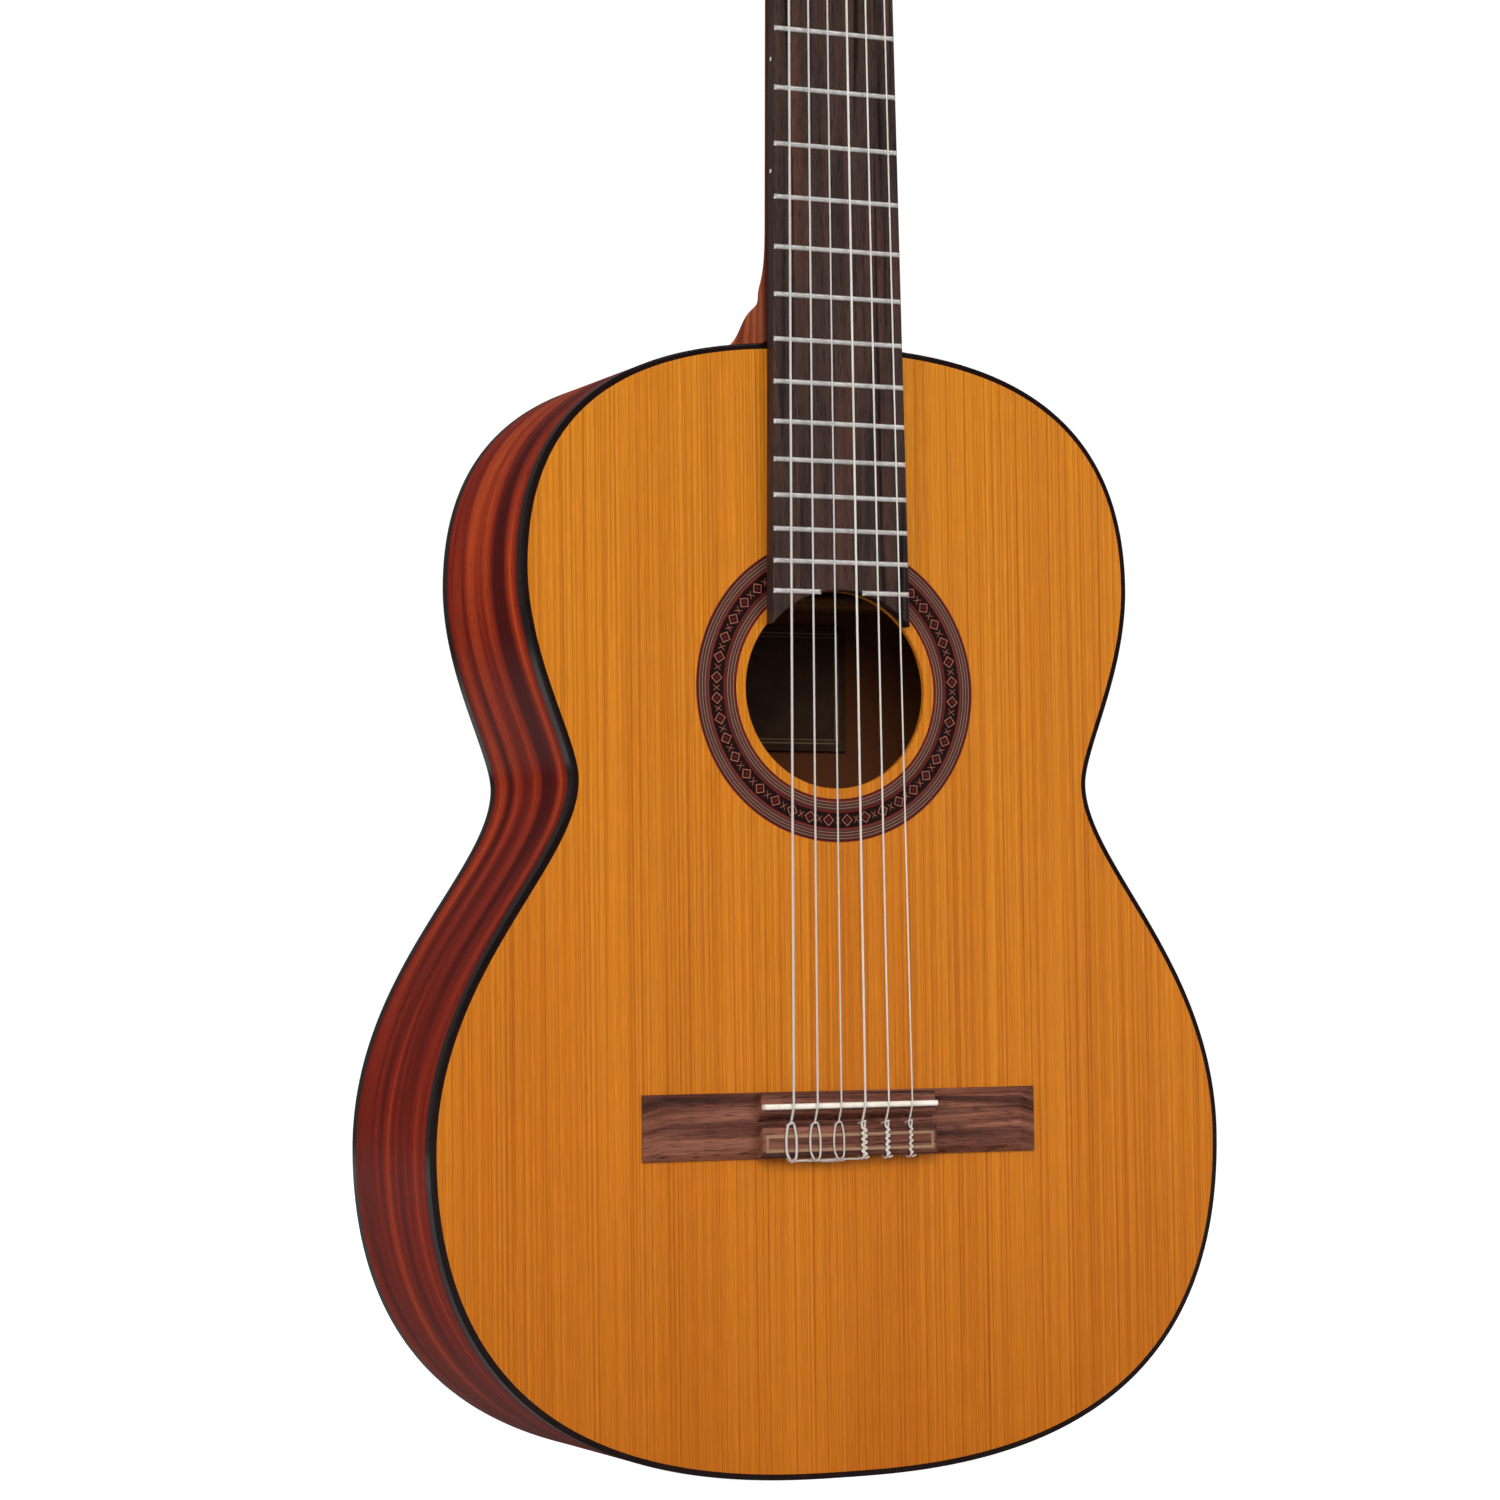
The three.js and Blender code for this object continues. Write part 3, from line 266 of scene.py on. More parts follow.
def plate(outline, holes, front, back, edge=0.4, uv=along_z, steps=3):
    """A board between two depths, cut to an outline and holes in x and z, with its edges rounded by a
    quarter circle."""
    loops = [anticlockwise(outline)] + [anticlockwise(hole)[::-1] for hole in holes]
    angle = np.linspace(0, np.pi / 2, steps + 1)
    inset = edge * (1 - np.sin(angle))
    drop = edge * (1 - np.cos(angle))
    shells, faces_front, faces_back = [], [], []
    for loop in loops:
        step = inward(loop)
        rows = []
        for distance, depth in zip(inset, drop):
            flat = close(loop + step * distance)
            rows.append(np.stack([flat[:, 0], at(front, flat[:, 1]) + depth, flat[:, 1]], -1))
        for distance, depth in zip(inset[::-1], drop[::-1]):
            flat = close(loop + step * distance)
            rows.append(np.stack([flat[:, 0], at(back, flat[:, 1]) - depth, flat[:, 1]], -1))
        shells.append(grid(np.array(rows), uv))
        faces_front.append(rows[0][:-1])
        faces_back.append(rows[-1][:-1])
    for rings in (faces_front, faces_back):
        points = np.concatenate(rings)
        triangles = tessellate_polygon([[Vector((x, z, 0)) for x, _, z in ring] for ring in rings])
        shells.append((points, [list(t) for t in triangles], uv(points)))
    return shells


def rectangle(x0, x1, z0, z1):
    """Four corners, anticlockwise."""
    return np.array([(x0, z0), (x1, z0), (x1, z1), (x0, z1)], float)


def turned_x(profile, sides=40):
    """A turned piece about x: each (x, radius) of the profile becomes a ring."""
    x, radius = np.asarray(profile, float).T[:, :, None]
    angle = np.linspace(0, 2 * np.pi, sides + 1)[None]
    points = np.stack([x + 0 * angle, radius * np.sin(angle), radius * np.cos(angle)], -1)
    return [grid(points, along_x)]


def tube(path, radius, sides=12):
    """A round cord: rings across the path, whose frame is carried along it without twisting."""
    path = np.asarray(path, float)
    ahead = np.gradient(path, axis=0)
    ahead /= np.linalg.norm(ahead, axis=1, keepdims=True)
    across = np.cross(ahead[0], (0.31, 0.87, 0.38))
    carried = []
    for direction in ahead:
        across = across - direction * (across @ direction)
        across = across / np.linalg.norm(across)
        carried.append(across)
    across = np.array(carried)
    other = np.cross(ahead, across)
    angle = np.linspace(0, 2 * np.pi, sides + 1)[None, :, None]
    points = path[:, None] + radius * (across[:, None] * np.cos(angle) + other[:, None] * np.sin(angle))
    length = np.concatenate([[0], np.cumsum(np.linalg.norm(np.diff(path, axis=0), axis=1))])
    uv = np.stack(np.broadcast_arrays(length[:, None], angle[..., 0] * radius), -1) * MM
    return grid(points, uv, caps=True)


def relief(x, z, height, base, uv=along_x):
    """A block on a base plane whose front is a height over the lines x and z, with walls all round it."""
    xs, zs = np.meshgrid(x, z, indexing="ij")
    front = np.stack([xs, -height(xs, zs), zs], -1)
    rim = np.concatenate([front[:-1, 0], front[-1, :-1], front[:0:-1, -1], front[0, :0:-1]])
    floor = rim.copy()
    floor[:, 1] = base
    return [grid(front, uv), grid(np.array([close(rim), close(floor)]), uv),
        (floor, [list(range(len(floor)))], uv(floor))]


def box_shell(low, high, uv=along_z, edge=0.4):
    """A block with eased edges between two corners."""
    return plate(rectangle(low[0], high[0], low[2], high[2]), [], low[1], high[1], edge, uv, 2)


# ---- Body outline --------------------------------------------------------------------------------


def half_outline(inset, steps=56):
    """The treble half from tail to neck, moved inwards: four curves, each shifted along its own normal."""
    points = []
    for number, control in enumerate(OUTLINE_CURVES):
        control = np.asarray(control, float)
        line = bezier(control, steps)
        slope = bezier(np.diff(control, axis=0), steps)
        slope /= np.linalg.norm(slope, axis=1, keepdims=True)
        moved = line + inset * np.stack([-slope[:, 1], slope[:, 0]], -1)
        points.append(moved[1 if number else 0 :])
    made = np.concatenate(points)
    made[[0, -1], 0] = 0
    return made


def full_outline(inset, steps=56):
    """The treble half up to the neck, and its mirror image back down the bass side."""
    half = half_outline(inset, steps)
    return np.vstack([half, half[-2:0:-1] * (-1, 1)])


def lengths(loop):
    """The distance run along a line up to each of its points."""
    return np.concatenate([[0], np.cumsum(np.linalg.norm(np.diff(loop, axis=0), axis=1))])


def band(section, front, back, steps=56):
    """A strip that follows the outline. Section rows are (inset, depth from the front if positive, else
    from the back)."""
    rows = []
    for inset, depth in section:
        loop = close(full_outline(inset, steps))
        y = at(front, loop[:, 1]) + depth if depth >= 0 else at(back, loop[:, 1]) + depth
        rows.append(np.stack([loop[:, 0], y, loop[:, 1]], -1))
    run = lengths(close(full_outline(0, steps)))
    rows = close(np.array(rows))
    across = np.cumsum([0] + [math.dist(a, b) for a, b in zip(section, section[1:] + section[:1])])
    uv = np.stack(np.broadcast_arrays(run[None, :], across[:, None]), -1) * MM
    return grid(rows, uv)


def rounded_section(width, height, radius, front_edge):
    """A binding's section: a rectangle whose outer edge is eased by a quarter circle."""
    angle = np.linspace(0, np.pi / 2, 5)
    arc = [(radius * (1 - math.sin(a)), radius * (1 - math.cos(a))) for a in angle]
    if front_edge:
        return [(width, 0.0)] + arc + [(0.0, height), (width, height)]
    at_back = -1e-9  # below nought by a hair, so that band() takes it from the back
    back = [(inset, -depth if depth else at_back) for inset, depth in reversed(arc)]
    return [(width, -height), (0.0, -height)] + back + [(width, at_back)]


# ---- Materials -----------------------------------------------------------------------------------


def rgb(red, green, blue, alpha=1.0):
    """A colour given as it is seen, turned to linear light."""
    shares = (red / 255, green / 255, blue / 255)
    linear = [c / 12.92 if c <= 0.04045 else ((c + 0.055) / 1.055) ** 2.4 for c in shares]
    return (*linear, alpha)


def node(tree, kind, inputs=None, **settings):
    """A shader node with its settings, and its inputs set to values or joined to sockets."""
    made = tree.nodes.new(kind)
    for key, value in settings.items():
        setattr(made, key, value)
    for key, value in (inputs or {}).items():
        if isinstance(value, bpy.types.NodeSocket):
            tree.links.new(value, made.inputs[key])
        else:
            made.inputs[key].default_value = value
    return made


def new_material(name, **constants):
    """A material whose even values sit on the shader's own sockets; underscores stand for spaces in
    their names."""
    material = bpy.data.materials.new(name)
    material.use_nodes = True
    shader = material.node_tree.nodes["Principled BSDF"]
    for key, value in constants.items():
        shader.inputs[key.replace("_", " ")].default_value = value
    return material, material.node_tree, shader


def math_node(tree, operation, first, second=0.0, third=0.0):
    """One operation on numbers or sockets."""
    made = node(tree, "ShaderNodeMath", {0: first, 1: second, 2: third}, operation=operation)
    return made.outputs[0]


def noise(tree, vector, scale=(1, 1, 1), detail=4.0, roughness=0.55, distortion=0.0):
    """Noise stretched by a scale for each axis, about 0.5."""
    mapped = node(tree, "ShaderNodeMapping", {"Vector": vector, "Scale": scale}).outputs[0]
    settings = {"Vector": mapped, "Scale": 1.0, "Detail": detail, "Roughness": roughness,
        "Distortion": distortion}
    return node(tree, "ShaderNodeTexNoise", settings).outputs["Fac"]


def ramp(tree, factor, *stops):
    """Colours at places from 0 to 1."""
    made = node(tree, "ShaderNodeValToRGB", {"Fac": factor})
    elements = made.color_ramp.elements
    while len(elements) < len(stops):
        elements.new(0.5)
    for element, (position, color) in zip(elements, stops):
        element.position, element.color = position, color
    return made.outputs["Color"]


def mix(tree, factor, first, second, blend="MIX"):
    """Two colours blended by a factor."""
    made = node(tree, "ShaderNodeMix", data_type="RGBA", blend_type=blend)
    for socket, value in ((0, factor), (6, first), (7, second)):
        if isinstance(value, bpy.types.NodeSocket):
            tree.links.new(value, made.inputs[socket])
        else:
            made.inputs[socket].default_value = value
    return made.outputs[2]


def bump(tree, shader, height, strength, distance):
    """Tips the shader's normal by the slope of a height, over a distance in millimetres."""
    made = node(tree, "ShaderNodeBump", {"Height": height, "Strength": strength, "Distance": distance * MM})
    tree.links.new(made.outputs[0], shader.inputs["Normal"])


def grain(tree):
    """Each point's grain coordinates."""
    return node(tree, "ShaderNodeUVMap", uv_map="Grain").outputs[0]


def cedar():
    """Quarter-sawn cedar: narrow dark winter lines a millimetre or two apart, slow changes of tone,
    and painted light that brightens it towards the neck.
    """
    material, tree, shader = new_material("cedar_top", Roughness=0.42, Specular_IOR_Level=0.22)
    uv = grain(tree)
    lines = noise(tree, uv, (1.8, 900, 1), 3, 0.7)
    wide = noise(tree, uv, (1.2, 210, 1), 2, 0.55)
    broad = noise(tree, uv, (0.8, 18, 1), 2)
    fleck = noise(tree, uv, (70, 1100, 1), 2)
    line = ramp(tree, lines, (0.34, rgb(160, 86, 14)), (0.47, rgb(207, 124, 28)), (0.60, rgb(222, 142, 40)))
    tone = ramp(tree, wide, (0.33, rgb(186, 104, 16)), (0.50, rgb(208, 128, 28)), (0.68, rgb(216, 138, 36)))
    base = mix(tree, 0.28, line, tone)
    shade = ramp(tree, broad, (0.3, rgb(240, 230, 222)), (0.65, rgb(255, 255, 255)))
    base = mix(tree, 1.0, base, shade, "MULTIPLY")
    # Painted light: the top is made brighter and yellower towards the neck, and darker and redder towards the
    # tail.
    up = node(tree, "ShaderNodeSeparateXYZ", {0: uv}).outputs[0]
    height = node(tree, "ShaderNodeMapRange", {"Value": up, "From Min": 0.0, "From Max": 0.46}).outputs[0]
    painted_light_toward_neck = ramp(tree, height, (0.0, rgb(240, 222, 210)), (0.3, rgb(252, 240, 236)), (1.0, rgb(255, 255, 240)))
    base = mix(tree, 1.0, base, painted_light_toward_neck, "MULTIPLY")
    glint = ramp(tree, fleck, (0.42, rgb(240, 240, 238)), (0.7, rgb(255, 255, 255)))
    base = mix(tree, 1.0, base, glint, "MULTIPLY")
    tree.links.new(base, shader.inputs["Base Color"])
    bump(tree, shader, lines, 0.12, 0.05)
    return material


def ribbon_wood(name, dark, middle, light, gloss=0.36, bands=52, ribbon=2.2, raw_inside=False,
    shade_beside_board=False):
    """Ribbon-striped wood under lacquer: long tapering stripes along the grain, with short pores
    between them. On the neck, painted shade darkens its side beside the fretboard."""
    material, tree, shader = new_material(name, Roughness=gloss, Specular_IOR_Level=0.08)
    uv = grain(tree)
    stripes = noise(tree, uv, (ribbon, bands, 1), 3, 0.5, 0.35)
    fine = noise(tree, uv, (11, bands * 9, 1), 3, 0.6)
    pores = noise(tree, uv, (140, 2600, 1), 2, 0.5)
    base = ramp(tree, stripes, (0.36, dark), (0.5, middle), (0.64, light))
    streak = ramp(tree, fine, (0.35, rgb(196, 180, 170)), (0.6, rgb(255, 255, 255)))
    base = mix(tree, 0.75, base, streak, "MULTIPLY")
    pore = ramp(tree, pores, (0.36, rgb(120, 90, 80)), (0.44, rgb(255, 255, 255)))
    base = mix(tree, 0.6, base, pore, "MULTIPLY")
    if raw_inside:
        base = mix(tree, outer_skin(tree), rgb(110, 64, 40), base)
    # Painted shade: the neck's side up to seven millimetres behind the fretboard is darkened, for the shadow
    # under the board's edge.
    if shade_beside_board:
        joint_shaded = mix(tree, 1.0, base, rgb(104, 76, 72), "MULTIPLY")
        base = mix(tree, shade_falloff_from_joint(tree), joint_shaded, base)
    tree.links.new(base, shader.inputs["Base Color"])
    bump(tree, shader, pores, 0.08, 0.05)
    return material


def outer_skin(tree):
    """One on the back's outer half and nought on its raw inner half, from the depth of its sloping
    middle."""
    parts = node(tree, "ShaderNodeSeparateXYZ", {0: node(tree, "ShaderNodeTexCoord").outputs["Object"]})
    slope = (DEPTH_AT_TAIL - DEPTH_AT_NECK) / BODY_LENGTH
    level = math_node(tree, "MULTIPLY_ADD", parts.outputs[2], slope, parts.outputs[1])
    return math_node(tree, "GREATER_THAN", level, FRONT + (DEPTH_AT_TAIL - BACK_THICKNESS / 2) * MM)


def shade_falloff_from_joint(tree):
    """Nought beside the fretboard's glue line, where the painted shade is darkest, and one seven
    millimetres behind it, where the painted shade has faded out."""
    place_on = node(tree, "ShaderNodeTexCoord").outputs["Object"]
    depth = node(tree, "ShaderNodeSeparateXYZ", {0: place_on}).outputs[1]
    reach = {"Value": depth, "From Min": FRONT + 2 * MM, "From Max": FRONT + 7 * MM}
    return node(tree, "ShaderNodeMapRange", reach).outputs[0]


def rosewood(name, dark, middle, light, rough=0.42):
    """Oily rosewood: near-black ink lines and red-brown figure along the grain, with open pores."""
    material, tree, shader = new_material(name, Roughness=rough, Specular_IOR_Level=0.25)
    uv = grain(tree)
    figure = noise(tree, uv, (7, 150, 1), 5, 0.62, 0.6)
    ink = noise(tree, uv, (5, 260, 1), 2, 0.5, 1.2)
    pores = noise(tree, uv, (120, 2400, 1), 2, 0.5)
    base = ramp(tree, figure, (0.33, dark), (0.5, middle), (0.68, light))
    lines = ramp(tree, ink, (0.33, rgb(70, 58, 56)), (0.43, rgb(255, 255, 255)))
    base = mix(tree, 0.85, base, lines, "MULTIPLY")
    pore = ramp(tree, pores, (0.36, rgb(90, 80, 76)), (0.45, rgb(255, 255, 255)))
    base = mix(tree, 0.7, base, pore, "MULTIPLY")
    tree.links.new(base, shader.inputs["Base Color"])
    bump(tree, shader, pores, 0.25, 0.08)
    return material


def plain_wood(name, dark, light):
    """Unfinished wood inside the box: soft grain and a dry surface."""
    material, tree, shader = new_material(name, Roughness=0.75, Specular_IOR_Level=0.2)
    uv = grain(tree)
    lines = noise(tree, uv, (6, 420, 1), 3, 0.6)
    tree.links.new(ramp(tree, lines, (0.3, dark), (0.7, light)), shader.inputs["Base Color"])
    bump(tree, shader, lines, 0.2, 0.1)
    return material


def mottled(name, dark, light, scale, rough, bump_depth=0.02, **constants):
    """An even material with a faint cloud of a second tone, and a fine surface that breaks its gloss."""
    material, tree, shader = new_material(name, Roughness=rough, **constants)
    place_on = node(tree, "ShaderNodeTexCoord").outputs["Object"]
    cloud = noise(tree, place_on, (scale, scale, scale), 3)
    tree.links.new(ramp(tree, cloud, (0.35, dark), (0.65, light)), shader.inputs["Base Color"])
    grit = noise(tree, place_on, (scale * 14, scale * 14, scale * 14), 2)
    bump(tree, shader, grit, 0.15, bump_depth)
    return material


def drawn_metal(name, dark, light, rough, stretch=(2500, 2500, 90), metallic=1.0):
    """Polished metal with the fine lines that drawing or rolling leaves."""
    material, tree, shader = new_material(name, Metallic=metallic)
    place_on = node(tree, "ShaderNodeTexCoord").outputs["Object"]
    lines = noise(tree, place_on, stretch, 3)
    tarnish = noise(tree, place_on, (160, 160, 160), 3)
    tree.links.new(ramp(tree, tarnish, (0.35, dark), (0.6, light)), shader.inputs["Base Color"])
    spread = node(tree, "ShaderNodeMapRange", {"Value": lines, "To Min": rough * 0.7,
        "To Max": rough * 1.4}).outputs[0]
    tree.links.new(spread, shader.inputs["Roughness"])
    bump(tree, shader, lines, 0.1, 0.01)
    return material


def wound_wire():
    """Silver-plated wire wound on a core: round ribs a sixth of a millimetre apart along the string,
    with painted shade in the grooves between them.
    """
    material, tree, shader = new_material("wound_wire", Metallic=0.35, Roughness=0.4)
    u = node(tree, "ShaderNodeSeparateXYZ", {0: grain(tree)}).outputs[0]
    rib = math_node(tree, "ABSOLUTE", math_node(tree, "SINE",
        math_node(tree, "MULTIPLY", u, math.pi / (0.17 * MM))))
    # Painted shade: the grooves between the turns are coloured darker than the turns' tops.
    tree.links.new(ramp(tree, rib, (0.0, rgb(168, 164, 160)), (0.6, rgb(240, 236, 230))),
        shader.inputs["Base Color"])
    bump(tree, shader, rib, 0.6, 0.06)
    return material


def clear_nylon():
    """Milky clear nylon."""
    material, tree, shader = new_material(
        "clear_nylon", Roughness=0.22, Transmission_Weight=0.25, IOR=1.5, Subsurface_Weight=0.2,
        Subsurface_Scale=0.0006
    )
    place_on = node(tree, "ShaderNodeTexCoord").outputs["Object"]
    haze = noise(tree, place_on, (60, 60, 24), 2)
    tree.links.new(ramp(tree, haze, (0.3, rgb(226, 219, 208)), (0.7, rgb(244, 240, 232))),
        shader.inputs["Base Color"])
    return material


def shell_pearl():
    """Pearl plastic: swirled layers of white and grey with a soft sheen."""
    material, tree, shader = new_material("pearl", Roughness=0.2, Coat_Weight=0.7, Coat_Roughness=0.06,
        Sheen_Weight=0.15)
    place_on = node(tree, "ShaderNodeTexCoord").outputs["Object"]
    swirl = noise(tree, place_on, (150, 240, 190), 4, 0.6, 2.4)
    white = ramp(tree, swirl, (0.3, rgb(196, 190, 180)), (0.45, rgb(232, 229, 222)),
        (0.52, rgb(214, 214, 216)), (0.7, rgb(246, 242, 232)))
    tree.links.new(white, shader.inputs["Base Color"])
    return material


def rosette_mosaic():
    """The soundhole's mosaic, drawn from each point's turn and radius.

    From both edges inwards come a red line, a band of fine grey and brown rings, and a red line.
    Between them is a black ring with a chain of outlined diamonds: a diamond is where the distances
    along and across the ring, taken from its centre, add up to less than its half width, and its
    outline is the same test in a narrow band. Small ties join one diamond to the next.
    """
    material, tree, shader = new_material("rosette_mosaic", Roughness=0.42, Specular_IOR_Level=0.22)
    parts = node(tree, "ShaderNodeSeparateXYZ", {0: grain(tree)})
    turn, radius = parts.outputs[0], parts.outputs[1]
    share = node(tree, "ShaderNodeMapRange", {"Value": radius, "From Min": ROSETTE_INNER,
        "From Max": ROSETTE_OUTER}).outputs[0]
    black, red, wine = rgb(24, 8, 9), rgb(116, 30, 22), rgb(66, 18, 20)
    grey, brown = rgb(150, 122, 98), rgb(78, 40, 38)
    stops = [(0.0, wine), (0.03, red), (0.06, brown), (0.27, wine), (0.29, red), (0.315, black),
        (0.67, red), (0.70, brown), (0.945, wine), (0.975, red)]
    rings = ramp(tree, share, *stops)
    rings.node.color_ramp.interpolation = "CONSTANT"
    fine = math_node(tree, "SINE", math_node(tree, "MULTIPLY", radius, 2 * math.pi / 1.3))
    fine = node(tree, "ShaderNodeMapRange", {"Value": fine, "From Min": 0.62, "From Max": 1.0}).outputs[0]
    inside_band = math_node(tree, "COMPARE", share, 0.165, 0.1)
    outside_band = math_node(tree, "COMPARE", share, 0.825, 0.115)
    in_bands = math_node(tree, "ADD", inside_band, outside_band)
    color = mix(tree, math_node(tree, "MULTIPLY", in_bands, fine), rings, grey)
    links = 40
    step = math_node(tree, "FRACT", math_node(tree, "MULTIPLY", turn, links))
    middle_radius = ROSETTE_INNER + 0.4925 * (ROSETTE_OUTER - ROSETTE_INNER)
    link_length = 2 * math.pi * middle_radius / links
    along = math_node(tree, "MULTIPLY", math_node(tree, "ABSOLUTE", math_node(tree, "SUBTRACT", step, 0.5)),
        link_length)
    across = math_node(tree, "ABSOLUTE", math_node(tree, "SUBTRACT", radius, middle_radius))
    distance = math_node(tree, "ADD", along, across)
    outline = math_node(tree, "COMPARE", distance, 2.4, 0.27)
    core = math_node(tree, "LESS_THAN", distance, 1.1)
    bow = math_node(tree, "SUBTRACT", across, math_node(tree, "MULTIPLY",
        math_node(tree, "SUBTRACT", link_length / 2, along), 1.3))
    ties = math_node(tree, "LESS_THAN", math_node(tree, "ABSOLUTE", bow), 0.2)
    ties = math_node(tree, "MULTIPLY", ties, math_node(tree, "GREATER_THAN", along, link_length / 2 - 1.1))
    salmon = rgb(164, 98, 76)
    color = mix(tree, core, color, rgb(84, 18, 18))
    color = mix(tree, math_node(tree, "MAXIMUM", outline, ties), color, salmon)
    speck = noise(tree, node(tree, "ShaderNodeTexCoord").outputs["Object"], (900, 900, 900), 2)
    color = mix(tree, 0.5, color, ramp(tree, speck, (0.3, rgb(205, 205, 205)), (0.7, rgb(255, 255, 255))),
        "MULTIPLY")
    tree.links.new(color, shader.inputs["Base Color"])
    return material


def shaded_label_paper(low, high, half_width):
    """Blank paper with a mottled aged tone, darkened all over by painted shade for the box's shadow,
    and a thin double frame, drawn from the distance to the nearest edge.
    """
    material, tree, shader = new_material("shaded_label_paper", Roughness=0.85, Specular_IOR_Level=0.15)
    place_on = node(tree, "ShaderNodeTexCoord").outputs["Object"]
    parts = node(tree, "ShaderNodeSeparateXYZ", {0: place_on})
    to_side = math_node(tree, "SUBTRACT", half_width * MM, math_node(tree, "ABSOLUTE", parts.outputs[0]))
    from_middle = math_node(tree, "ABSOLUTE", math_node(tree, "SUBTRACT", parts.outputs[2],
        (low + high) / 2 * MM))
    to_end = math_node(tree, "SUBTRACT", (high - low) / 2 * MM, from_middle)
    edge = math_node(tree, "MINIMUM", to_side, to_end)
    thin = math_node(tree, "COMPARE", edge, 5.2 * MM, 0.25 * MM)
    thick = math_node(tree, "COMPARE", edge, 3.6 * MM, 0.35 * MM)
    age = noise(tree, place_on, (40, 40, 40), 4)
    # Painted shade: the paper's colours are dark browns, standing in for the shadow inside the box.
    paper = ramp(tree, age, (0.35, rgb(64, 45, 34)), (0.65, rgb(82, 60, 46)))
    color = mix(tree, math_node(tree, "MAXIMUM", thin, thick), paper, rgb(128, 108, 84))
    tree.links.new(color, shader.inputs["Base Color"])
    bump(tree, shader, age, 0.1, 0.05)
    return material


CEDAR = cedar()
SIDE_TONES = (rgb(82, 5, 1), rgb(150, 34, 2), rgb(204, 74, 6))
MAHOGANY = ribbon_wood("mahogany", *SIDE_TONES)
BACK_MAHOGANY = ribbon_wood("back_mahogany", *SIDE_TONES, raw_inside=True)
NECK_WOOD = ribbon_wood("neck_mahogany", rgb(140, 50, 12), rgb(180, 80, 24), rgb(210, 108, 38), 0.4, 90, 4,
    shade_beside_board=True)
BOARD_WOOD = rosewood("fretboard_rosewood", rgb(42, 32, 31), rgb(62, 46, 42), rgb(82, 52, 42), 0.5)
BRIDGE_WOOD = rosewood("bridge_rosewood", rgb(46, 26, 24), rgb(98, 56, 44), rgb(150, 96, 76), 0.4)
EDGING = mottled("black_edging", rgb(14, 6, 5), rgb(26, 11, 9), 120, 0.2, Specular_IOR_Level=0.35)
SPRUCE = plain_wood("inner_spruce", rgb(168, 122, 72), rgb(204, 160, 106))
INNER_CEDAR = plain_wood("inner_cedar", rgb(140, 88, 52), rgb(176, 120, 78))
BONE = mottled("bone", rgb(232, 224, 206), rgb(246, 241, 230), 220, 0.32, Subsurface_Weight=0.1,
    Subsurface_Scale=0.001)
PALE_TRIM = plain_wood("pale_trim", rgb(132, 100, 76), rgb(164, 132, 104))
BRASS = drawn_metal("brass", rgb(178, 134, 62), rgb(214, 172, 92), 0.24)
STEEL = drawn_metal("steel", rgb(168, 168, 170), rgb(206, 206, 208), 0.26)
FRET_WIRE = drawn_metal("fret_wire", rgb(214, 210, 207), rgb(238, 235, 232), 0.28, (90, 2500, 2500), 0.6)
PEARL = shell_pearl()
ROLLER_WHITE = mottled("roller_white", rgb(228, 220, 200), rgb(240, 234, 218), 180, 0.35)
WOUND_WIRE = wound_wire()
NYLON = clear_nylon()
MOSAIC = rosette_mosaic()


# ---- Soundbox ------------------------------------------------------------------------------------


def soundboard():
    """Rings about the soundhole, from its rounded edge over the rosette's channel to the outline, then
    back behind.

    Each ring has one point for each point of the outline, at the same angle from the soundhole's
    centre.
    """
    outline = close(full_outline(BINDING_WIDTH + 0.02, 72))
    angle = np.unwrap(np.arctan2(outline[:, 1] - HOLE_Z, outline[:, 0]))
    direction = np.stack([np.cos(angle), np.sin(angle)], -1)
    turn = np.linspace(0, np.pi / 2, 4)
    rim = 0.5
    radii = [(HOLE_RADIUS, TOP_THICKNESS / 2)]
    radii += [(HOLE_RADIUS + rim * (1 - math.cos(a)), rim * (1 - math.sin(a))) for a in turn]
    channel = ROSETTE_DEPTH + 0.05
    radii += [(ROSETTE_INNER - 0.02, 0), (ROSETTE_INNER - 0.02, channel), (ROSETTE_OUTER + 0.02, channel),
        (ROSETTE_OUTER + 0.02, 0)]
    radii += [(ROSETTE_OUTER + 12, 0)]
    even = np.ones(len(angle))
    rows = [np.stack([r * direction[:, 0], y * even, HOLE_Z + r * direction[:, 1]], -1) for r, y in radii]
    for y in (0.0, TOP_THICKNESS):
        rows.append(np.stack([outline[:, 0], y * even, outline[:, 1]], -1))
    rows.append(rows[0] * (1, 0, 1) + (0, TOP_THICKNESS, 0))
    rows.append(rows[0])
    return [grid(np.array(rows))]


def rosette():
    """A flat ring whose coordinates are the turn about the soundhole and the radius."""
    turn = np.linspace(0, 1, 241)
    angle = 2 * np.pi * turn - np.pi / 2
    radii = [(ROSETTE_INNER, ROSETTE_DEPTH), (ROSETTE_INNER, 0), (ROSETTE_OUTER, 0),
        (ROSETTE_OUTER, ROSETTE_DEPTH)]
    radii.append(radii[0])
    cos, sin = np.cos(angle), np.sin(angle)
    rows = [np.stack([r * cos, np.full_like(turn, y), HOLE_Z + r * sin], -1) for r, y in radii]
    uv = [np.stack([turn, np.full_like(turn, r)], -1) for r, _ in radii]
    return [grid(np.array(rows), np.array(uv))]


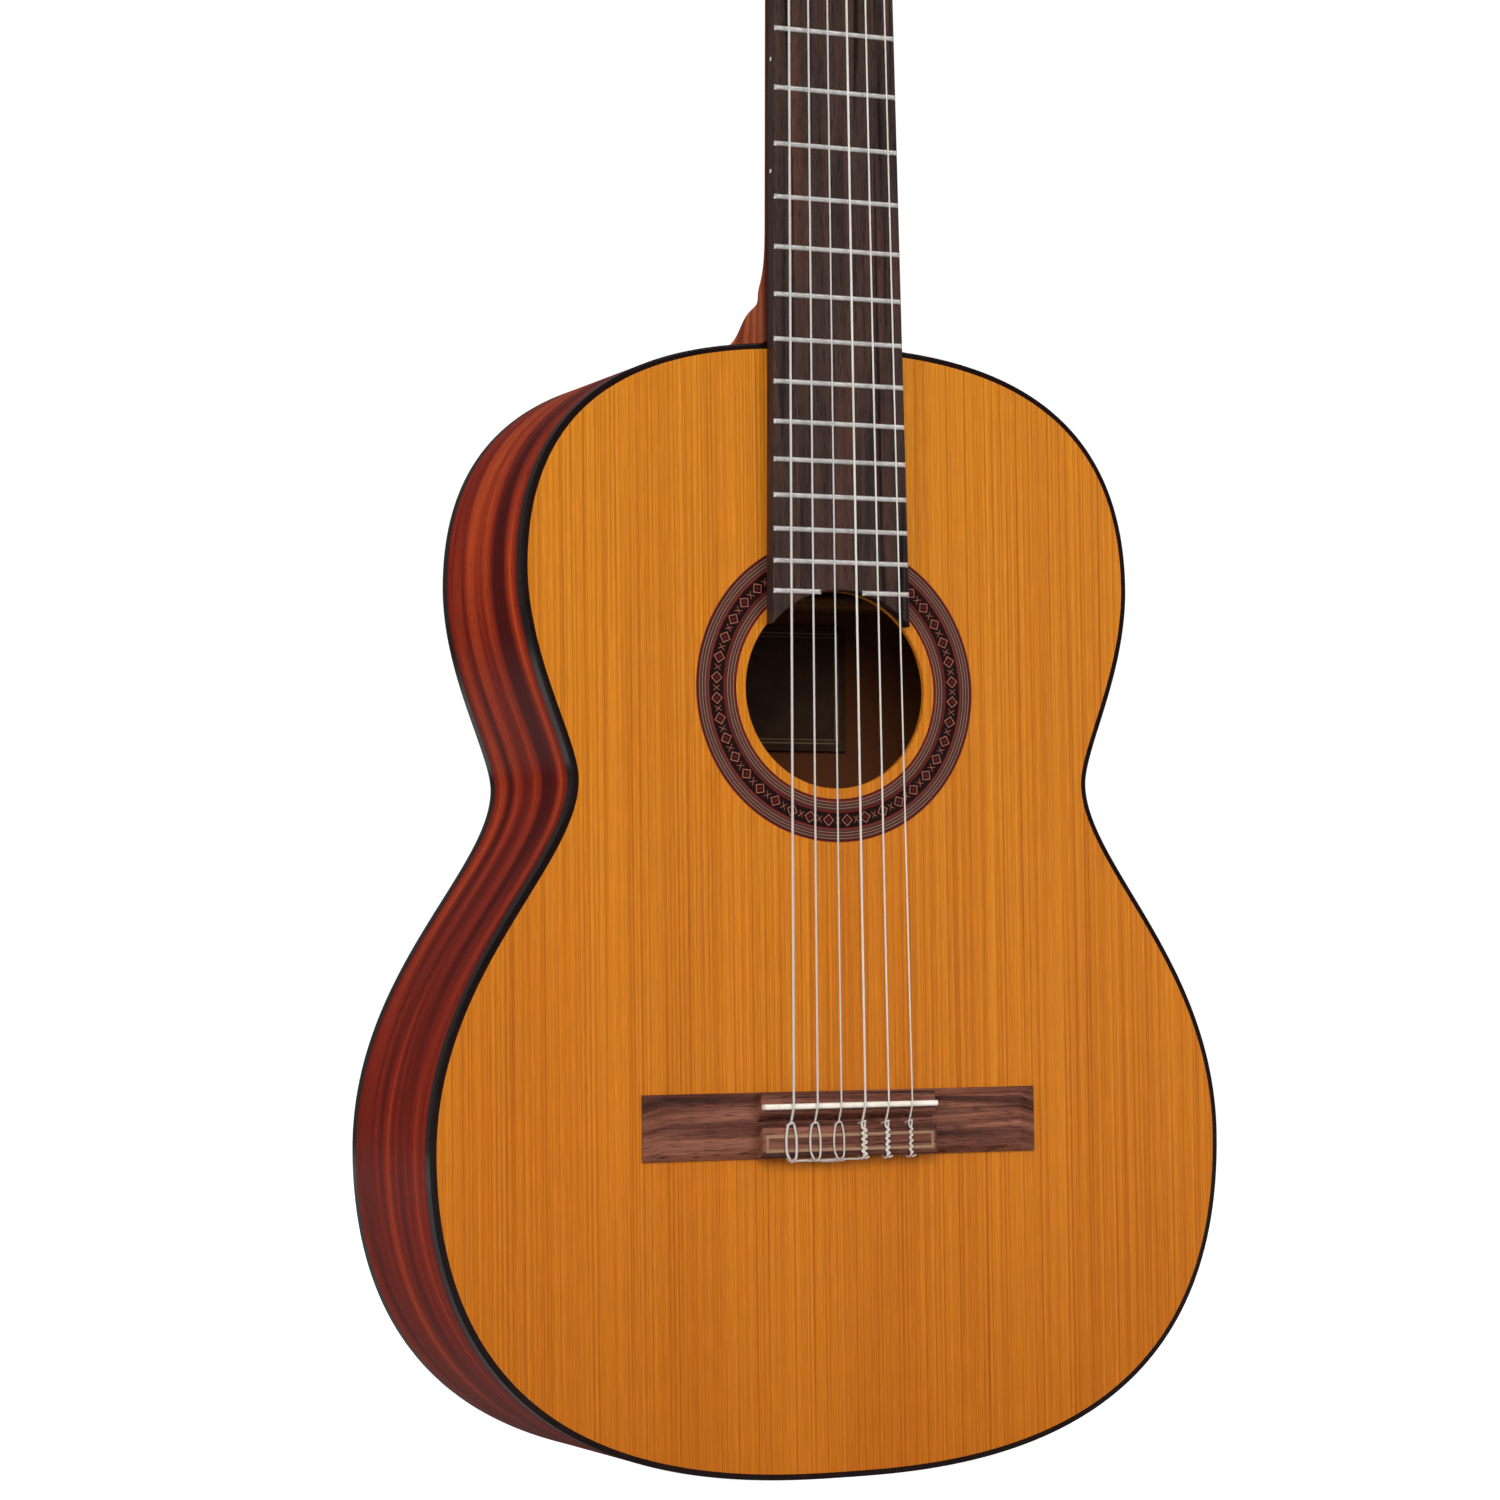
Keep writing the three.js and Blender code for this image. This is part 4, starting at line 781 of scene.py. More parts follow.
def rib(side):
    """A bent side: the outline between the end graft and the heel's web, given a wall, with its grain
    along the bend."""
    outer = half_outline(0.05, 90)
    keep = (outer[:, 0] > 0) & ~((outer[:, 0] < GRAFT_HALF_WIDTH + 0.05) & (outer[:, 1] < 100))
    keep &= ~((outer[:, 0] < WEB_HALF_WIDTH + GAP) & (outer[:, 1] > 300))
    outer, inner = outer[keep], half_outline(RIB_THICKNESS, 90)[keep]
    run = lengths(outer)
    edge = BINDING_HEIGHT + 0.02
    rows, uv = [], []
    for line, deep in ((outer, 0), (outer, 1), (inner, 1), (inner, 0), (outer, 0)):
        y = back_depth(line[:, 1]) - edge if deep else np.full(len(line), edge)
        rows.append(np.stack([side * line[:, 0], y, line[:, 1]], -1))
        uv.append(np.stack([run + (500 if side > 0 else 0), y], -1) * MM)
    return [grid(np.swapaxes(np.array(rows), 0, 1), np.swapaxes(np.array(uv), 0, 1), caps=True)]


def kerfed_lining(front_edge):
    """A glue strip with saw kerfs: at every kerf the strip's inner face drops back to a thin spine."""
    steps = 140
    inner_face, spine = BINDING_WIDTH + GAP + LINING_WIDTH, BINDING_WIDTH + GAP + 1.2
    outer = BINDING_WIDTH + GAP
    run = lengths(close(full_outline(0, steps)))
    kerf = (np.floor(run / (KERF_PITCH / 2)) % 2 == 0)[:, None]
    tip, foot = (1.0, LINING_HEIGHT) if front_edge else (-1.0, LINING_HEIGHT)
    wide, slim = close(full_outline(inner_face, steps)), close(full_outline(spine, steps))
    thick = np.where(kerf, slim, wide)
    wall = close(full_outline(outer, steps))
    rows = []
    for loop, depth in ((wall, 0), (thick, 0), (thick, 5),
        (np.where(kerf, slim, close(full_outline(spine + 0.6, steps))), foot), (wall, foot)):
        if front_edge:
            y = TOP_THICKNESS + 0.05 + depth * tip
        else:
            y = back_depth(loop[:, 1]) - BACK_THICKNESS - 0.05 + depth * tip
        rows.append(np.stack([loop[:, 0], y + 0 * loop[:, 0], loop[:, 1]], -1))
    rows.append(rows[0])
    uv = np.stack(np.broadcast_arrays(run[None, :], np.arange(6.0)[:, None] * 5), -1) * MM
    return [grid(np.array(rows), uv)]


def brace(start, end, width, height, surface, into=1.0, scoop=26.0):
    """A glued bar between two points: a round-topped section whose height falls to a third over its
    scooped ends."""
    start, end = np.asarray(start, float), np.asarray(end, float)
    length = np.linalg.norm(end - start)
    direction = (end - start) / length
    side = np.array([-direction[1], direction[0]])
    s = np.concatenate([np.linspace(0, scoop, 10), np.linspace(scoop, length - scoop, 4)[1:-1],
        np.linspace(length - scoop, length, 10)])
    share = np.clip(np.minimum(s, length - s) / scoop, 0, 1)
    tall = height * (0.3 + 0.7 * share * share * (3 - 2 * share))
    section = np.array([(-0.5, 0), (-0.5, 0.72), (-0.36, 0.9), (-0.14, 1), (0.14, 1), (0.36, 0.9),
        (0.5, 0.72), (0.5, 0), (-0.5, 0)])
    centre = start + s[:, None] * direction
    flat = centre[:, None] + (section[:, 0] * width)[None, :, None] * side
    y = at(surface, flat[..., 1]) + into * section[:, 1][None] * tall[:, None]
    around = section[:, 0][None] * width + section[:, 1][None] * 4
    uv = np.stack(np.broadcast_arrays(s[:, None], around), -1) * MM
    return grid(np.stack([flat[..., 0], y, flat[..., 1]], -1), uv, caps=True)


def soundboard_bracing():
    """Two harmonic bars, the soundhole's two patches, five fans and two closing bars, as one glued
    assembly."""
    under = TOP_THICKNESS + 0.05
    bars = [brace((-124, 392), (124, 392), 6, 14, under), brace((-106, 284), (106, 284), 6, 14, under)]
    bars += [brace((side * 50, 288), (side * 50, 388), 10, 2.8, under, scoop=6) for side in (-1, 1)]
    bars += [brace((fan * 18, 280), (fan * 33, 42 + abs(fan) * 14), 5, 4, under) for fan in range(-2, 3)]
    bars += [brace((side * 3, 40), (side * 84, 79), 5, 4, under) for side in (-1, 1)]
    return bars


def back_bracing():
    """The centre strip on the back's inner face, and three cross bars."""
    inside = lambda z: back_depth(z) - BACK_THICKNESS - 0.05
    strip = plate(rectangle(-9, 9, 44, BODY_LENGTH - 50), [], lambda z: inside(z) - 1.9, inside, 0.8)
    heights_and_halves = ((110, 160), (245, 118), (382, 126))
    bars = [brace((-half, z), (half, z), 7, 13, inside, -1.0, 32) for z, half in heights_and_halves]
    return strip + bars


def make_soundbox():
    """Builds the box: plates, sides, edging, linings, braces, blocks, rosette and label."""
    piece("soundboard", soundboard(), CEDAR, replaces="soundboard")
    piece("rosette", rosette(), MOSAIC, replaces="rosette")
    outline = full_outline(BINDING_WIDTH + 0.02, 56)
    back = plate(outline, [], lambda z: back_depth(z) - BACK_THICKNESS, back_depth, 0.02)
    piece("back", back, BACK_MAHOGANY, replaces="back")
    for side, name in ((-1, "rib_bass"), (1, "rib_treble")):
        piece(name, rib(side), MAHOGANY, replaces=name)
    for name, front_edge in (("top_binding", True), ("back_binding", False)):
        section = rounded_section(BINDING_WIDTH, BINDING_HEIGHT, 1.0, front_edge)
        piece(name, [band(section, 0, back_depth, 72)], EDGING, replaces=name)
    for name, front_edge in (("top_lining", True), ("back_lining", False)):
        piece(name, kerfed_lining(front_edge), SPRUCE, replaces=name, sharp_angle=20)
    piece("soundboard_bracing", soundboard_bracing(), SPRUCE, replaces="soundboard_bracing")
    piece("back_bracing", back_bracing(), INNER_CEDAR, replaces="back_bracing")
    inset = BINDING_WIDTH + LINING_WIDTH + 2 * GAP
    inner_back = lambda z: back_depth(z) - BACK_THICKNESS - GAP
    block = rectangle(-BLOCK_HALF_WIDTH, BLOCK_HALF_WIDTH, inset + 3, inset + BLOCK_LENGTH)
    piece("tail_block", plate(block, [], TOP_THICKNESS + GAP, inner_back, 1.2), SPRUCE,
        replaces="tail_block")
    graft = rectangle(-GRAFT_HALF_WIDTH, GRAFT_HALF_WIDTH, 0, RIB_THICKNESS)
    edge = BINDING_HEIGHT + 0.02
    piece("end_graft", plate(graft, [], edge, lambda z: back_depth(z) - edge, 0.02), EDGING,
        replaces="end_graft")
    make_label()


def make_label():
    """A thin blank sheet over the back's centre strip, under the soundhole."""
    low, high, half_width = 315.0, 372.0, 49.0
    under = lambda z: back_depth(z) - BACK_THICKNESS - 2.2
    sheet = plate(rectangle(-half_width, half_width, low, high), [], lambda z: under(z) - 0.3, under, 0.05,
        along_x)
    piece("label", sheet, shaded_label_paper(low, high, half_width), replaces="label")


# ---- Neck ----------------------------------------------------------------------------------------


def board_half_width(z):
    """Half the fretboard's width, which grows evenly from the nut down."""
    return BOARD_HALF_AT_NUT + (BOARD_HALF_AT_JOINT - BOARD_HALF_AT_NUT) * (NUT_Z - z) / (SCALE_LENGTH / 2)


def neck_line():
    """Height and depth of the neck's back line: up the heel, round its hollow, and along the shaft to
    the nut."""
    cap_top = BODY_LENGTH + HEEL_CAP_LENGTH
    deep = back_depth(cap_top) - BACK_THICKNESS - 0.05
    knee, end = (cap_top + 11, 62), (BODY_LENGTH + HEEL_RISE, NECK_DEPTH_AT_JOINT)
    return np.vstack([
        [(BODY_LENGTH + 0.05, deep)],
        bezier([(cap_top, deep), (cap_top + 1, deep - 16), (knee[0] - 0.5, knee[1] + 13), knee], 16),
        bezier([knee, (knee[0] + 1, knee[1] - 22), (end[0] - 26, end[1]), end], 22)[1:],
        bezier([end, (NUT_Z - 40, NECK_DEPTH_AT_NUT)], 24)[1:],
        bezier([(NUT_Z - 40, NECK_DEPTH_AT_NUT), (NUT_Z - 28, NECK_DEPTH_AT_NUT),
            (NUT_Z - 20, NECK_DEPTH_AT_NUT + 0.6)], 6)[1:],
    ])


def shaft():
    """The neck as a stack of sections.

    On the shaft a section is a flattened half ellipse, x = w cos and y = d sin^0.95. Down the heel
    it turns into a keel, whose half width falls with depth as 1 / (1 + (y / flare)^2.2). Behind the
    nut the sections lean with the head and square up to its thickness.
    """
    line = neck_line()
    angle = np.linspace(0, np.pi, 49)
    cos, sin = np.cos(angle), np.clip(np.sin(angle), 0, 1)
    z, depth = line[:, :1], line[:, 1:]
    half = board_half_width(z)
    heel = np.clip((depth - NECK_DEPTH_AT_JOINT) / 40, 0, 1)
    y = depth * sin**0.95
    keel = HEEL_HALF_WIDTH + (half - HEEL_HALF_WIDTH) / (1 + (y / HEEL_FLARE) ** 2.2)
    x = (1 - heel) * half * cos + heel * np.sign(cos) * np.abs(cos) ** 0.2 * keel
    rows = [np.stack([x, y, z + 0 * x], -1)]
    start, start_depth = line[-1]
    t = np.linspace(0, 1, 11)[1:, None]
    ease = t * t * (3 - 2 * t)
    square = 1 - 0.84 * ease
    reach = start_depth + (HEAD_THICKNESS - start_depth) * ease
    turn = HEAD_TILT * ease
    foot_z = start + (HEAD_Z + 1.5 - start) * t
    foot_y = (HEAD_DROP + 0.35) * ease
    half = board_half_width(foot_z)
    x = half * np.sign(cos) * np.abs(cos) ** square
    y = reach * sin ** (square - 0.05 * (1 - ease) + 0.05 * ease)
    rows.append(np.stack([x, foot_y + y * np.cos(turn), foot_z - y * np.sin(turn)], -1))
    stack = np.concatenate(rows)
    stack = np.concatenate([stack, stack[:, :1]], 1)
    return [grid(stack, caps=True)]


def head_outline():
    """Shoulders that flare from the nut, straight sides for the tuning machines, and a low arched
    crest."""
    half, shoulder, crest, top = HEAD_HALF_WIDTH, 26.0, HEAD_LENGTH - 20, HEAD_LENGTH
    nut = BOARD_HALF_AT_NUT
    right = np.vstack([
        bezier([(nut, 0), (nut, shoulder * 0.6), (half, shoulder * 0.5), (half, shoulder)], 14),
        bezier([(half, shoulder), (half, SLOT_END + 8)], 6)[1:],
        bezier([(half, SLOT_END + 8), (half - 1, crest), (half - 4, crest)], 8)[1:],
        bezier([(half - 4, crest), (half - 14, crest + 1), (14, top), (0, top)], 16)[1:],
    ])
    return np.vstack([right, right[-2::-1] * (-1, 1)])


def head_slot(side):
    """A slot's outline: a half circle at each end, joined by straight sides."""
    angle = np.linspace(0, np.pi, 17)
    end = np.stack([SLOT_HALF_WIDTH * np.cos(angle), SLOT_HALF_WIDTH * np.sin(angle)], -1)
    top = end + (side * SLOT_CENTRE, SLOT_END - SLOT_HALF_WIDTH)
    bottom = -end + (side * SLOT_CENTRE, SLOT_START + SLOT_HALF_WIDTH)
    return np.vstack([top, bottom])


def ramp_cutters():
    """Two wedges that slope from the face down to the bottom of each slot's lower end, where the
    strings go in."""
    shells = []
    for side in (-1, 1):
        low, high = side * SLOT_CENTRE - SLOT_HALF_WIDTH, side * SLOT_CENTRE + SLOT_HALF_WIDTH
        wedge = np.array([(-6, 4), (-VENEER - 0.4, 13), (5.5, 40), (-6, 40)], float)
        rows = [np.stack([np.full(5, x), close(wedge)[:, 0], close(wedge)[:, 1]], -1) for x in (low, high)]
        shells.append(grid(np.array(rows), caps=True))
    return mesh_of("ramps", shells, lean)


def bore_cutters():
    """The rollers' holes: a wide one through each side wall, and a small blind one in the web between
    the slots."""
    shells = []
    for z in ROLLER_HEIGHTS:
        for side in (-1, 1):
            for radius, start, end in ((BARREL + 0.35, SLOT_CENTRE + 4, HEAD_HALF_WIDTH + 4), (3.3, 6.4, 13)):
                hole = turned_x([(start, 0), (start, radius), (end, radius), (end, 0)], 28)[0]
                shells.append((hole[0] * (side, 1, 1) + (0, ROLLER_DEPTH, z), hole[1], hole[2]))
    return mesh_of("bores", shells, lean)


def make_neck():
    """Shaft, heel, inner block and slotted head from one piece of wood, with its cap and veneer."""
    slots = [head_slot(-1), head_slot(1)]
    head = mesh_of("head", plate(head_outline(), slots, 0, HEAD_THICKNESS, 1.2), lean)
    web = plate(
        rectangle(-WEB_HALF_WIDTH, WEB_HALF_WIDTH, BODY_LENGTH - 24, BODY_LENGTH + 0.6),
        [], BINDING_HEIGHT + GAP, lambda z: back_depth(z) - BINDING_HEIGHT - GAP, 0.1,
    )
    top = BODY_LENGTH - BINDING_WIDTH - LINING_WIDTH - 2 * GAP
    block = plate(
        rectangle(-BLOCK_HALF_WIDTH, BLOCK_HALF_WIDTH, top - BLOCK_LENGTH, top - 1),
        [], TOP_THICKNESS + GAP, lambda z: back_depth(z) - BACK_THICKNESS - GAP, 1.0,
    )
    steps = [("UNION", head), ("UNION", mesh_of("web", web)), ("UNION", mesh_of("block", block))]
    steps += [("DIFFERENCE", ramp_cutters()), ("DIFFERENCE", bore_cutters())]
    piece("neck", carve(mesh_of("neck", shaft()), steps), NECK_WOOD, replaces="neck")

    veneer = mesh_of("head_veneer", plate(head_outline(), slots, -VENEER - 0.02, -0.02, 0.5), lean)
    foot = mesh_of("foot", box_shell((-40, -5, -4), (40, 5, 0.6), edge=0.02), lean)
    veneer = carve(veneer, [("DIFFERENCE", ramp_cutters()), ("DIFFERENCE", foot)])
    piece("head_veneer", veneer, BOARD_WOOD, replaces="head_veneer")

    cap_top, half = BODY_LENGTH + HEEL_CAP_LENGTH, HEEL_HALF_WIDTH + 0.8
    right = bezier([(half, BODY_LENGTH + 0.1), (half - 0.5, cap_top - 3), (half - 3, cap_top),
        (0, cap_top)], 14)
    outline = np.vstack([right, right[-2::-1] * (-1, 1)])
    cap = plate(outline, [], lambda z: back_depth(z) - BACK_THICKNESS, back_depth, 0.6)
    piece("heel_cap", cap, EDGING, replaces="heel_cap")


def fret_z(fret):
    """A fret's height: each fret divides the sounding length by the twelfth root of two."""
    return NUT_Z - SCALE_LENGTH * (1 - 2 ** (-fret / 12))


def fretboard():
    """A tapered board whose end is scooped to the soundhole's edge."""
    low = NUT_Z - BOARD_LENGTH
    half = board_half_width(low)
    corner = math.atan2(low - HOLE_Z, math.sqrt(HOLE_RADIUS**2 - (low - HOLE_Z) ** 2))
    angle = np.linspace(math.pi - corner, corner, 41)
    scoop = np.stack([HOLE_RADIUS * np.cos(angle), HOLE_Z + HOLE_RADIUS * np.sin(angle)], -1)
    ends = np.array([(half, low), (BOARD_HALF_AT_NUT, NUT_Z - 0.05), (-BOARD_HALF_AT_NUT, NUT_Z - 0.05),
        (-half, low)])
    return plate(np.vstack([scoop, ends]), [], -BOARD_THICKNESS, -0.02, 0.45)


def fret_wire(z, start, end):
    """A fret's crown: half an ellipse over its bead, sloping off over the last millimetre at both ends."""
    angle = np.linspace(0, np.pi, 13)
    slope = np.array([0.0, 0.25, 0.6, 0.85, 1.0, 1.0, 0.85, 0.6, 0.25, 0.0])[:, None]
    x = np.concatenate([start + np.array([0, 0.25, 0.6, 0.9, 1.2]),
        end - np.array([1.2, 0.9, 0.6, 0.25, 0])])[:, None]
    sunk = BOARD_THICKNESS - 0.3
    tall = 0.32 + (FRET_HEIGHT - 0.02) * slope * np.sin(angle)
    arch = np.stack([x + 0 * tall, -sunk - tall, z + FRET_HALF_WIDTH * np.cos(angle) + 0 * tall], -1)
    foot = arch[:, [0, -1]] * (1, 0, 1) + (0, -sunk, 0)
    ring = np.concatenate([foot[:, :1], arch, foot[:, 1:], foot[:, :1]], 1)
    return grid(ring, along_x, caps=True)


def make_fretboard():
    """The board, its frets, and the position dots on its bass edge."""
    piece("fretboard", fretboard(), BOARD_WOOD, replaces="fretboard")
    for number in range(1, FRETS + 1):
        z = fret_z(number)
        half = board_half_width(z) - 0.15
        reach = HOLE_RADIUS**2 - (z - HOLE_Z) ** 2
        if reach > 0:
            gap = math.sqrt(reach) + 0.3
            piece(f"fret_{number}_bass", [fret_wire(z, -half, -gap)], FRET_WIRE)
            piece(f"fret_{number}_treble", [fret_wire(z, gap, half)], FRET_WIRE)
        else:
            piece(f"fret_{number}", [fret_wire(z, -half, half)], FRET_WIRE)
    for number in (5, 7, 9):
        z = (fret_z(number - 1) + fret_z(number)) / 2
        x = -board_half_width(z)
        profile = [(-0.06, 0), (-0.06, 0.85), (0.02, 1.0), (0.8, 1.0), (0.8, 0)]
        points, faces, uv = turned_x(profile, 20)[0]
        piece(f"side_dot_{number}", [(points + (x, -BOARD_THICKNESS / 2, z), faces, uv)], PEARL)


def string_x(number, span):
    """A string's place across, the six sharing a span evenly from the treble side."""
    return span * (0.5 - (number - 1) / 5)


def nut():
    """A bone bar whose height drops in six slots. Its top is flat at the board and rounds off towards
    the head."""
    cuts = np.array([string_x(n, SPAN_AT_NUT) for n in range(1, 7)])
    wide = np.array(STRING_DIAMETERS) / 2 + 0.12
    edges = np.sort(np.concatenate([cuts - wide, cuts - wide - 0.02, cuts + wide, cuts + wide + 0.02, cuts]))
    half = BOARD_HALF_AT_NUT
    x = np.concatenate([[-half, -half + 0.15, -half + 0.5], edges, [half - 0.5, half - 0.15, half]])
    z = NUT_Z + np.array([0, 0.2, 0.6, 1.4, 2.2, 2.8, 3.4, 4.0, 4.5, 4.8, 5.0])

    def height(xs, zs):
        """The eased and rounded top, or the floor of a string's slot where that is lower."""
        s = zs - NUT_Z
        top = NUT_HEIGHT - 0.25 * np.clip(1 - s / 0.4, 0, 1) - 1.9 * np.clip((s - 1.8) / 3.2, 0, 1) ** 2
        top -= 0.35 * np.clip(1 - (half - np.abs(xs)) / 0.5, 0, 1)
        slot = NUT_SLOT_HEIGHT - 0.9 * np.clip((s - 2.6) / 2.4, 0, None)
        inside = (np.abs(xs[..., None] - cuts) < wide + 0.005).any(-1)
        return np.where(inside, np.minimum(top, slot), top)

    return relief(x, z, height, -0.05)


def saddle():
    """A bone strip whose top is a half ellipse, with eased ends."""
    half = 40.8
    angle = np.linspace(0, np.pi, 13)
    width, top = 1.2, SADDLE_HEIGHT - 0.9
    arch = np.stack([-(top + 0.9 * np.sin(angle)), SADDLE_Z + width * np.cos(angle)], -1)
    section = np.vstack([[(-3.05, SADDLE_Z + width)], arch,
        [(-3.05, SADDLE_Z - width), (-3.05, SADDLE_Z + width)]])
    rows = []
    for x, share in ((-half, 0.8), (-half + 0.4, 1.0), (half - 0.4, 1.0), (half, 0.8)):
        y = section[:, 0] + (1 - share) * 2.0 * (section[:, 0] < -5)
        z = SADDLE_Z + (section[:, 1] - SADDLE_Z) * share
        rows.append(np.stack([np.full(len(section), x), y, z], -1))
    return [grid(np.array(rows), along_x, caps=True)]


# ---- Bridge and strings --------------------------------------------------------------------------


def bridge():
    """Heights over the bridge's base.

    A wing is a slab with its edges planed off: the height is the least of its thickness and of
    straight slopes up from its long edges and its end. Between the wings stand the saddle's block
    and the tie block, with a valley between them and the saddle's slot, given as heights over z.
    """
    step, half = 0.02, TIE_BLOCK_HALF
    low, high, tie = BRIDGE_LOW, BRIDGE_HIGH, TIE_BLOCK_HIGH
    slot_low, slot_high = SADDLE_Z - 1.28, SADDLE_Z + 1.28
    profile = [
        (low, 1.0), (low + 0.5, 1.4), (low + 0.5 + step, TIE_BLOCK_HEIGHT - 0.5),
        (low + 1.1, TIE_BLOCK_HEIGHT), (tie - 0.5, TIE_BLOCK_HEIGHT), (tie, TIE_BLOCK_HEIGHT - 0.5),
        (tie + step, 3.4), (tie + 2.2, 3.4), (slot_low - 2.4, 7.6), (slot_low - 1.6, 8.0),
        (slot_low, 8.0), (slot_low + step, 3.0), (slot_high - step, 3.0), (slot_high, 8.0),
        (high - 1.6, 8.0), (high - 0.6, 7.3), (high - 0.5, 1.6), (high, 1.0),
    ]
    heights = np.array(profile)
    z = np.sort(np.concatenate([heights[:, 0], [low + 1.6, low + 3.0, (low + high) / 2, high - 3.0]]))
    end = np.array([0, 0.6, 2.0, 4.0, 6.0, 8.0, 9.0, 20, 36, BRIDGE_HALF_LENGTH - half - step])
    left = -BRIDGE_HALF_LENGTH + end
    middle = np.array([-half, -half + 0.4, -half + 0.4 + step, 0])
    x = np.concatenate([left, middle, -middle[-2::-1], -left[::-1]])

    def height(xs, zs):
        """The wings' slab, and between them the higher of the slab and the blocks' heights."""
        from_edge = np.minimum(zs - low, high - zs)
        from_end = BRIDGE_HALF_LENGTH - np.abs(xs)
        wing = np.minimum(np.minimum(3.9, 1.1 + from_edge * 0.95), 1.1 + from_end * 0.36)
        centre = np.interp(zs, heights[:, 0], heights[:, 1])
        centre = np.where(np.abs(xs) > half - 0.3, np.maximum(centre - 0.35, 0.9), centre)
        closed = (np.abs(xs) > half - 0.2) & (zs > slot_low - 0.1) & (zs < slot_high + 0.1)
        centre = np.where(closed, 7.65, centre)
        return np.where(np.abs(xs) <= half, np.maximum(centre, np.minimum(wing, 3.4)), wing)

    return relief(x, z, height, -0.02)


def tie_holes():
    """Six drills through the tie block, along z."""
    shells = []
    for number in range(1, 7):
        points, faces, uv = turned_x([(0, 0), (0, 1.0), (22, 1.0), (22, 0)], 20)[0]
        turned = np.stack([points[:, 1], points[:, 2], points[:, 0]], -1)
        start = (string_x(number, SPAN_AT_SADDLE), -TIE_HOLE_DEPTH, BRIDGE_LOW - 4)
        shells.append((turned + start, faces, uv))
    return mesh_of("drills", shells)


def tie_trim():
    """The pale frame let into the tie block's top."""
    half, low, high, strip = 39.6, 138.8, 146.2, 1.3
    return plate(
        rectangle(-half, half, low, high),
        [rectangle(-half + strip, half - strip, low + strip, high - strip)],
        -TIE_BLOCK_HEIGHT - 0.05, -TIE_BLOCK_HEIGHT + 0.85, 0.03, along_x,
    )


def roller_touch(number):
    """Where the straight string from the nut first touches its roller, in head coordinates, with the
    roller's side and height and the radius at which the string lies."""
    treble = number <= 3
    side, z = (1, ROLLER_HEIGHTS[number - 1]) if treble else (-1, ROLLER_HEIGHTS[6 - number])
    radius = BARREL + STRING_DIAMETERS[number - 1] / 2 + 0.1
    y, up = -NUT_SLOT_HEIGHT - STRING_DIAMETERS[number - 1] / 2 - 0.1 - HEAD_DROP, -2.0
    cos, sin = math.cos(HEAD_TILT), math.sin(HEAD_TILT)
    y, up = y * cos - up * sin, y * sin + up * cos
    dy, dz = ROLLER_DEPTH - y, z - up
    distance = math.hypot(dy, dz)
    angle = math.atan2(dy, dz) - math.asin(radius / distance)
    reach = math.sqrt(distance**2 - radius**2)
    x = side * (21.5 if z == ROLLER_HEIGHTS[2] else 18.0)
    return np.array([x, y + reach * math.sin(angle), up + reach * math.cos(angle)]), side, z, radius


def main_string(number):
    """From the tie hole up the valley's slope, over the saddle and the nut, and straight to its roller."""
    radius = STRING_DIAMETERS[number - 1] / 2
    x, nut_x = string_x(number, SPAN_AT_SADDLE), string_x(number, SPAN_AT_NUT)
    rest, nut_rest = -SADDLE_HEIGHT - radius - 0.02, -NUT_SLOT_HEIGHT - radius - 0.05
    knot = (x, -TIE_BLOCK_HEIGHT + 0.2, TIE_BLOCK_HIGH + 1.6)
    start = through([
        (x, -TIE_HOLE_DEPTH, BRIDGE_LOW - 0.4), (x, -TIE_HOLE_DEPTH, TIE_BLOCK_HIGH - 1),
        (x, -TIE_HOLE_DEPTH - 0.5, TIE_BLOCK_HIGH + 0.5), knot, (x, rest + 0.3, SADDLE_Z - 0.9),
    ], 6)
    over = bezier([(x, rest, SADDLE_Z - 0.4), (x, rest - 0.02, SADDLE_Z), (x, rest, SADDLE_Z + 0.6)], 4)
    end = np.array([nut_x, nut_rest, NUT_Z])
    share = np.linspace(0, 1, 40)[1:-1, None]
    long_run = over[-1] * (1 - share) + end * share
    touch = lean(roller_touch(number)[0])
    at_nut = bezier([end, (nut_x, nut_rest, HEAD_Z - 2.4), (nut_x, nut_rest + 0.35, HEAD_Z - 1.2)], 5)
    return np.vstack([start, over, long_run, at_nut, touch])


def bass_tie(x, r, tail):
    """Up over the tie block, once round the standing string, back down, and tucked under itself along
    the edge."""
    top, edge = -TIE_BLOCK_HEIGHT - r - 0.05, BRIDGE_LOW - r
    hook = TIE_BLOCK_HIGH + 1.6
    points = [
        (0, -TIE_HOLE_DEPTH, edge + 0.6), (0.5, -TIE_HOLE_DEPTH - 1.2, edge - 0.35), (1.2, -7.8, edge - 0.3),
        (1.9, top + 0.15, edge + 0.8), (2.2, top, edge + 3.4), (2.25, top, edge + 8), (1.9, top, edge + 11.6),
        (1.0, top - 0.4, hook - 0.8), (-0.3, top - 1.0 - r, hook), (-1.6, top - 0.3, hook - 0.9),
        (-2.3, top, edge + 11), (-2.5, top, edge + 7), (-2.2, top, edge + 3), (-1.3, top - 0.1, edge + 0.9),
        (0.4, -8.2, edge - 0.7), (1.9, -7.2, edge - 0.5), *tail,
    ]
    return through(np.array(points) + (x, 0, 0), 7)


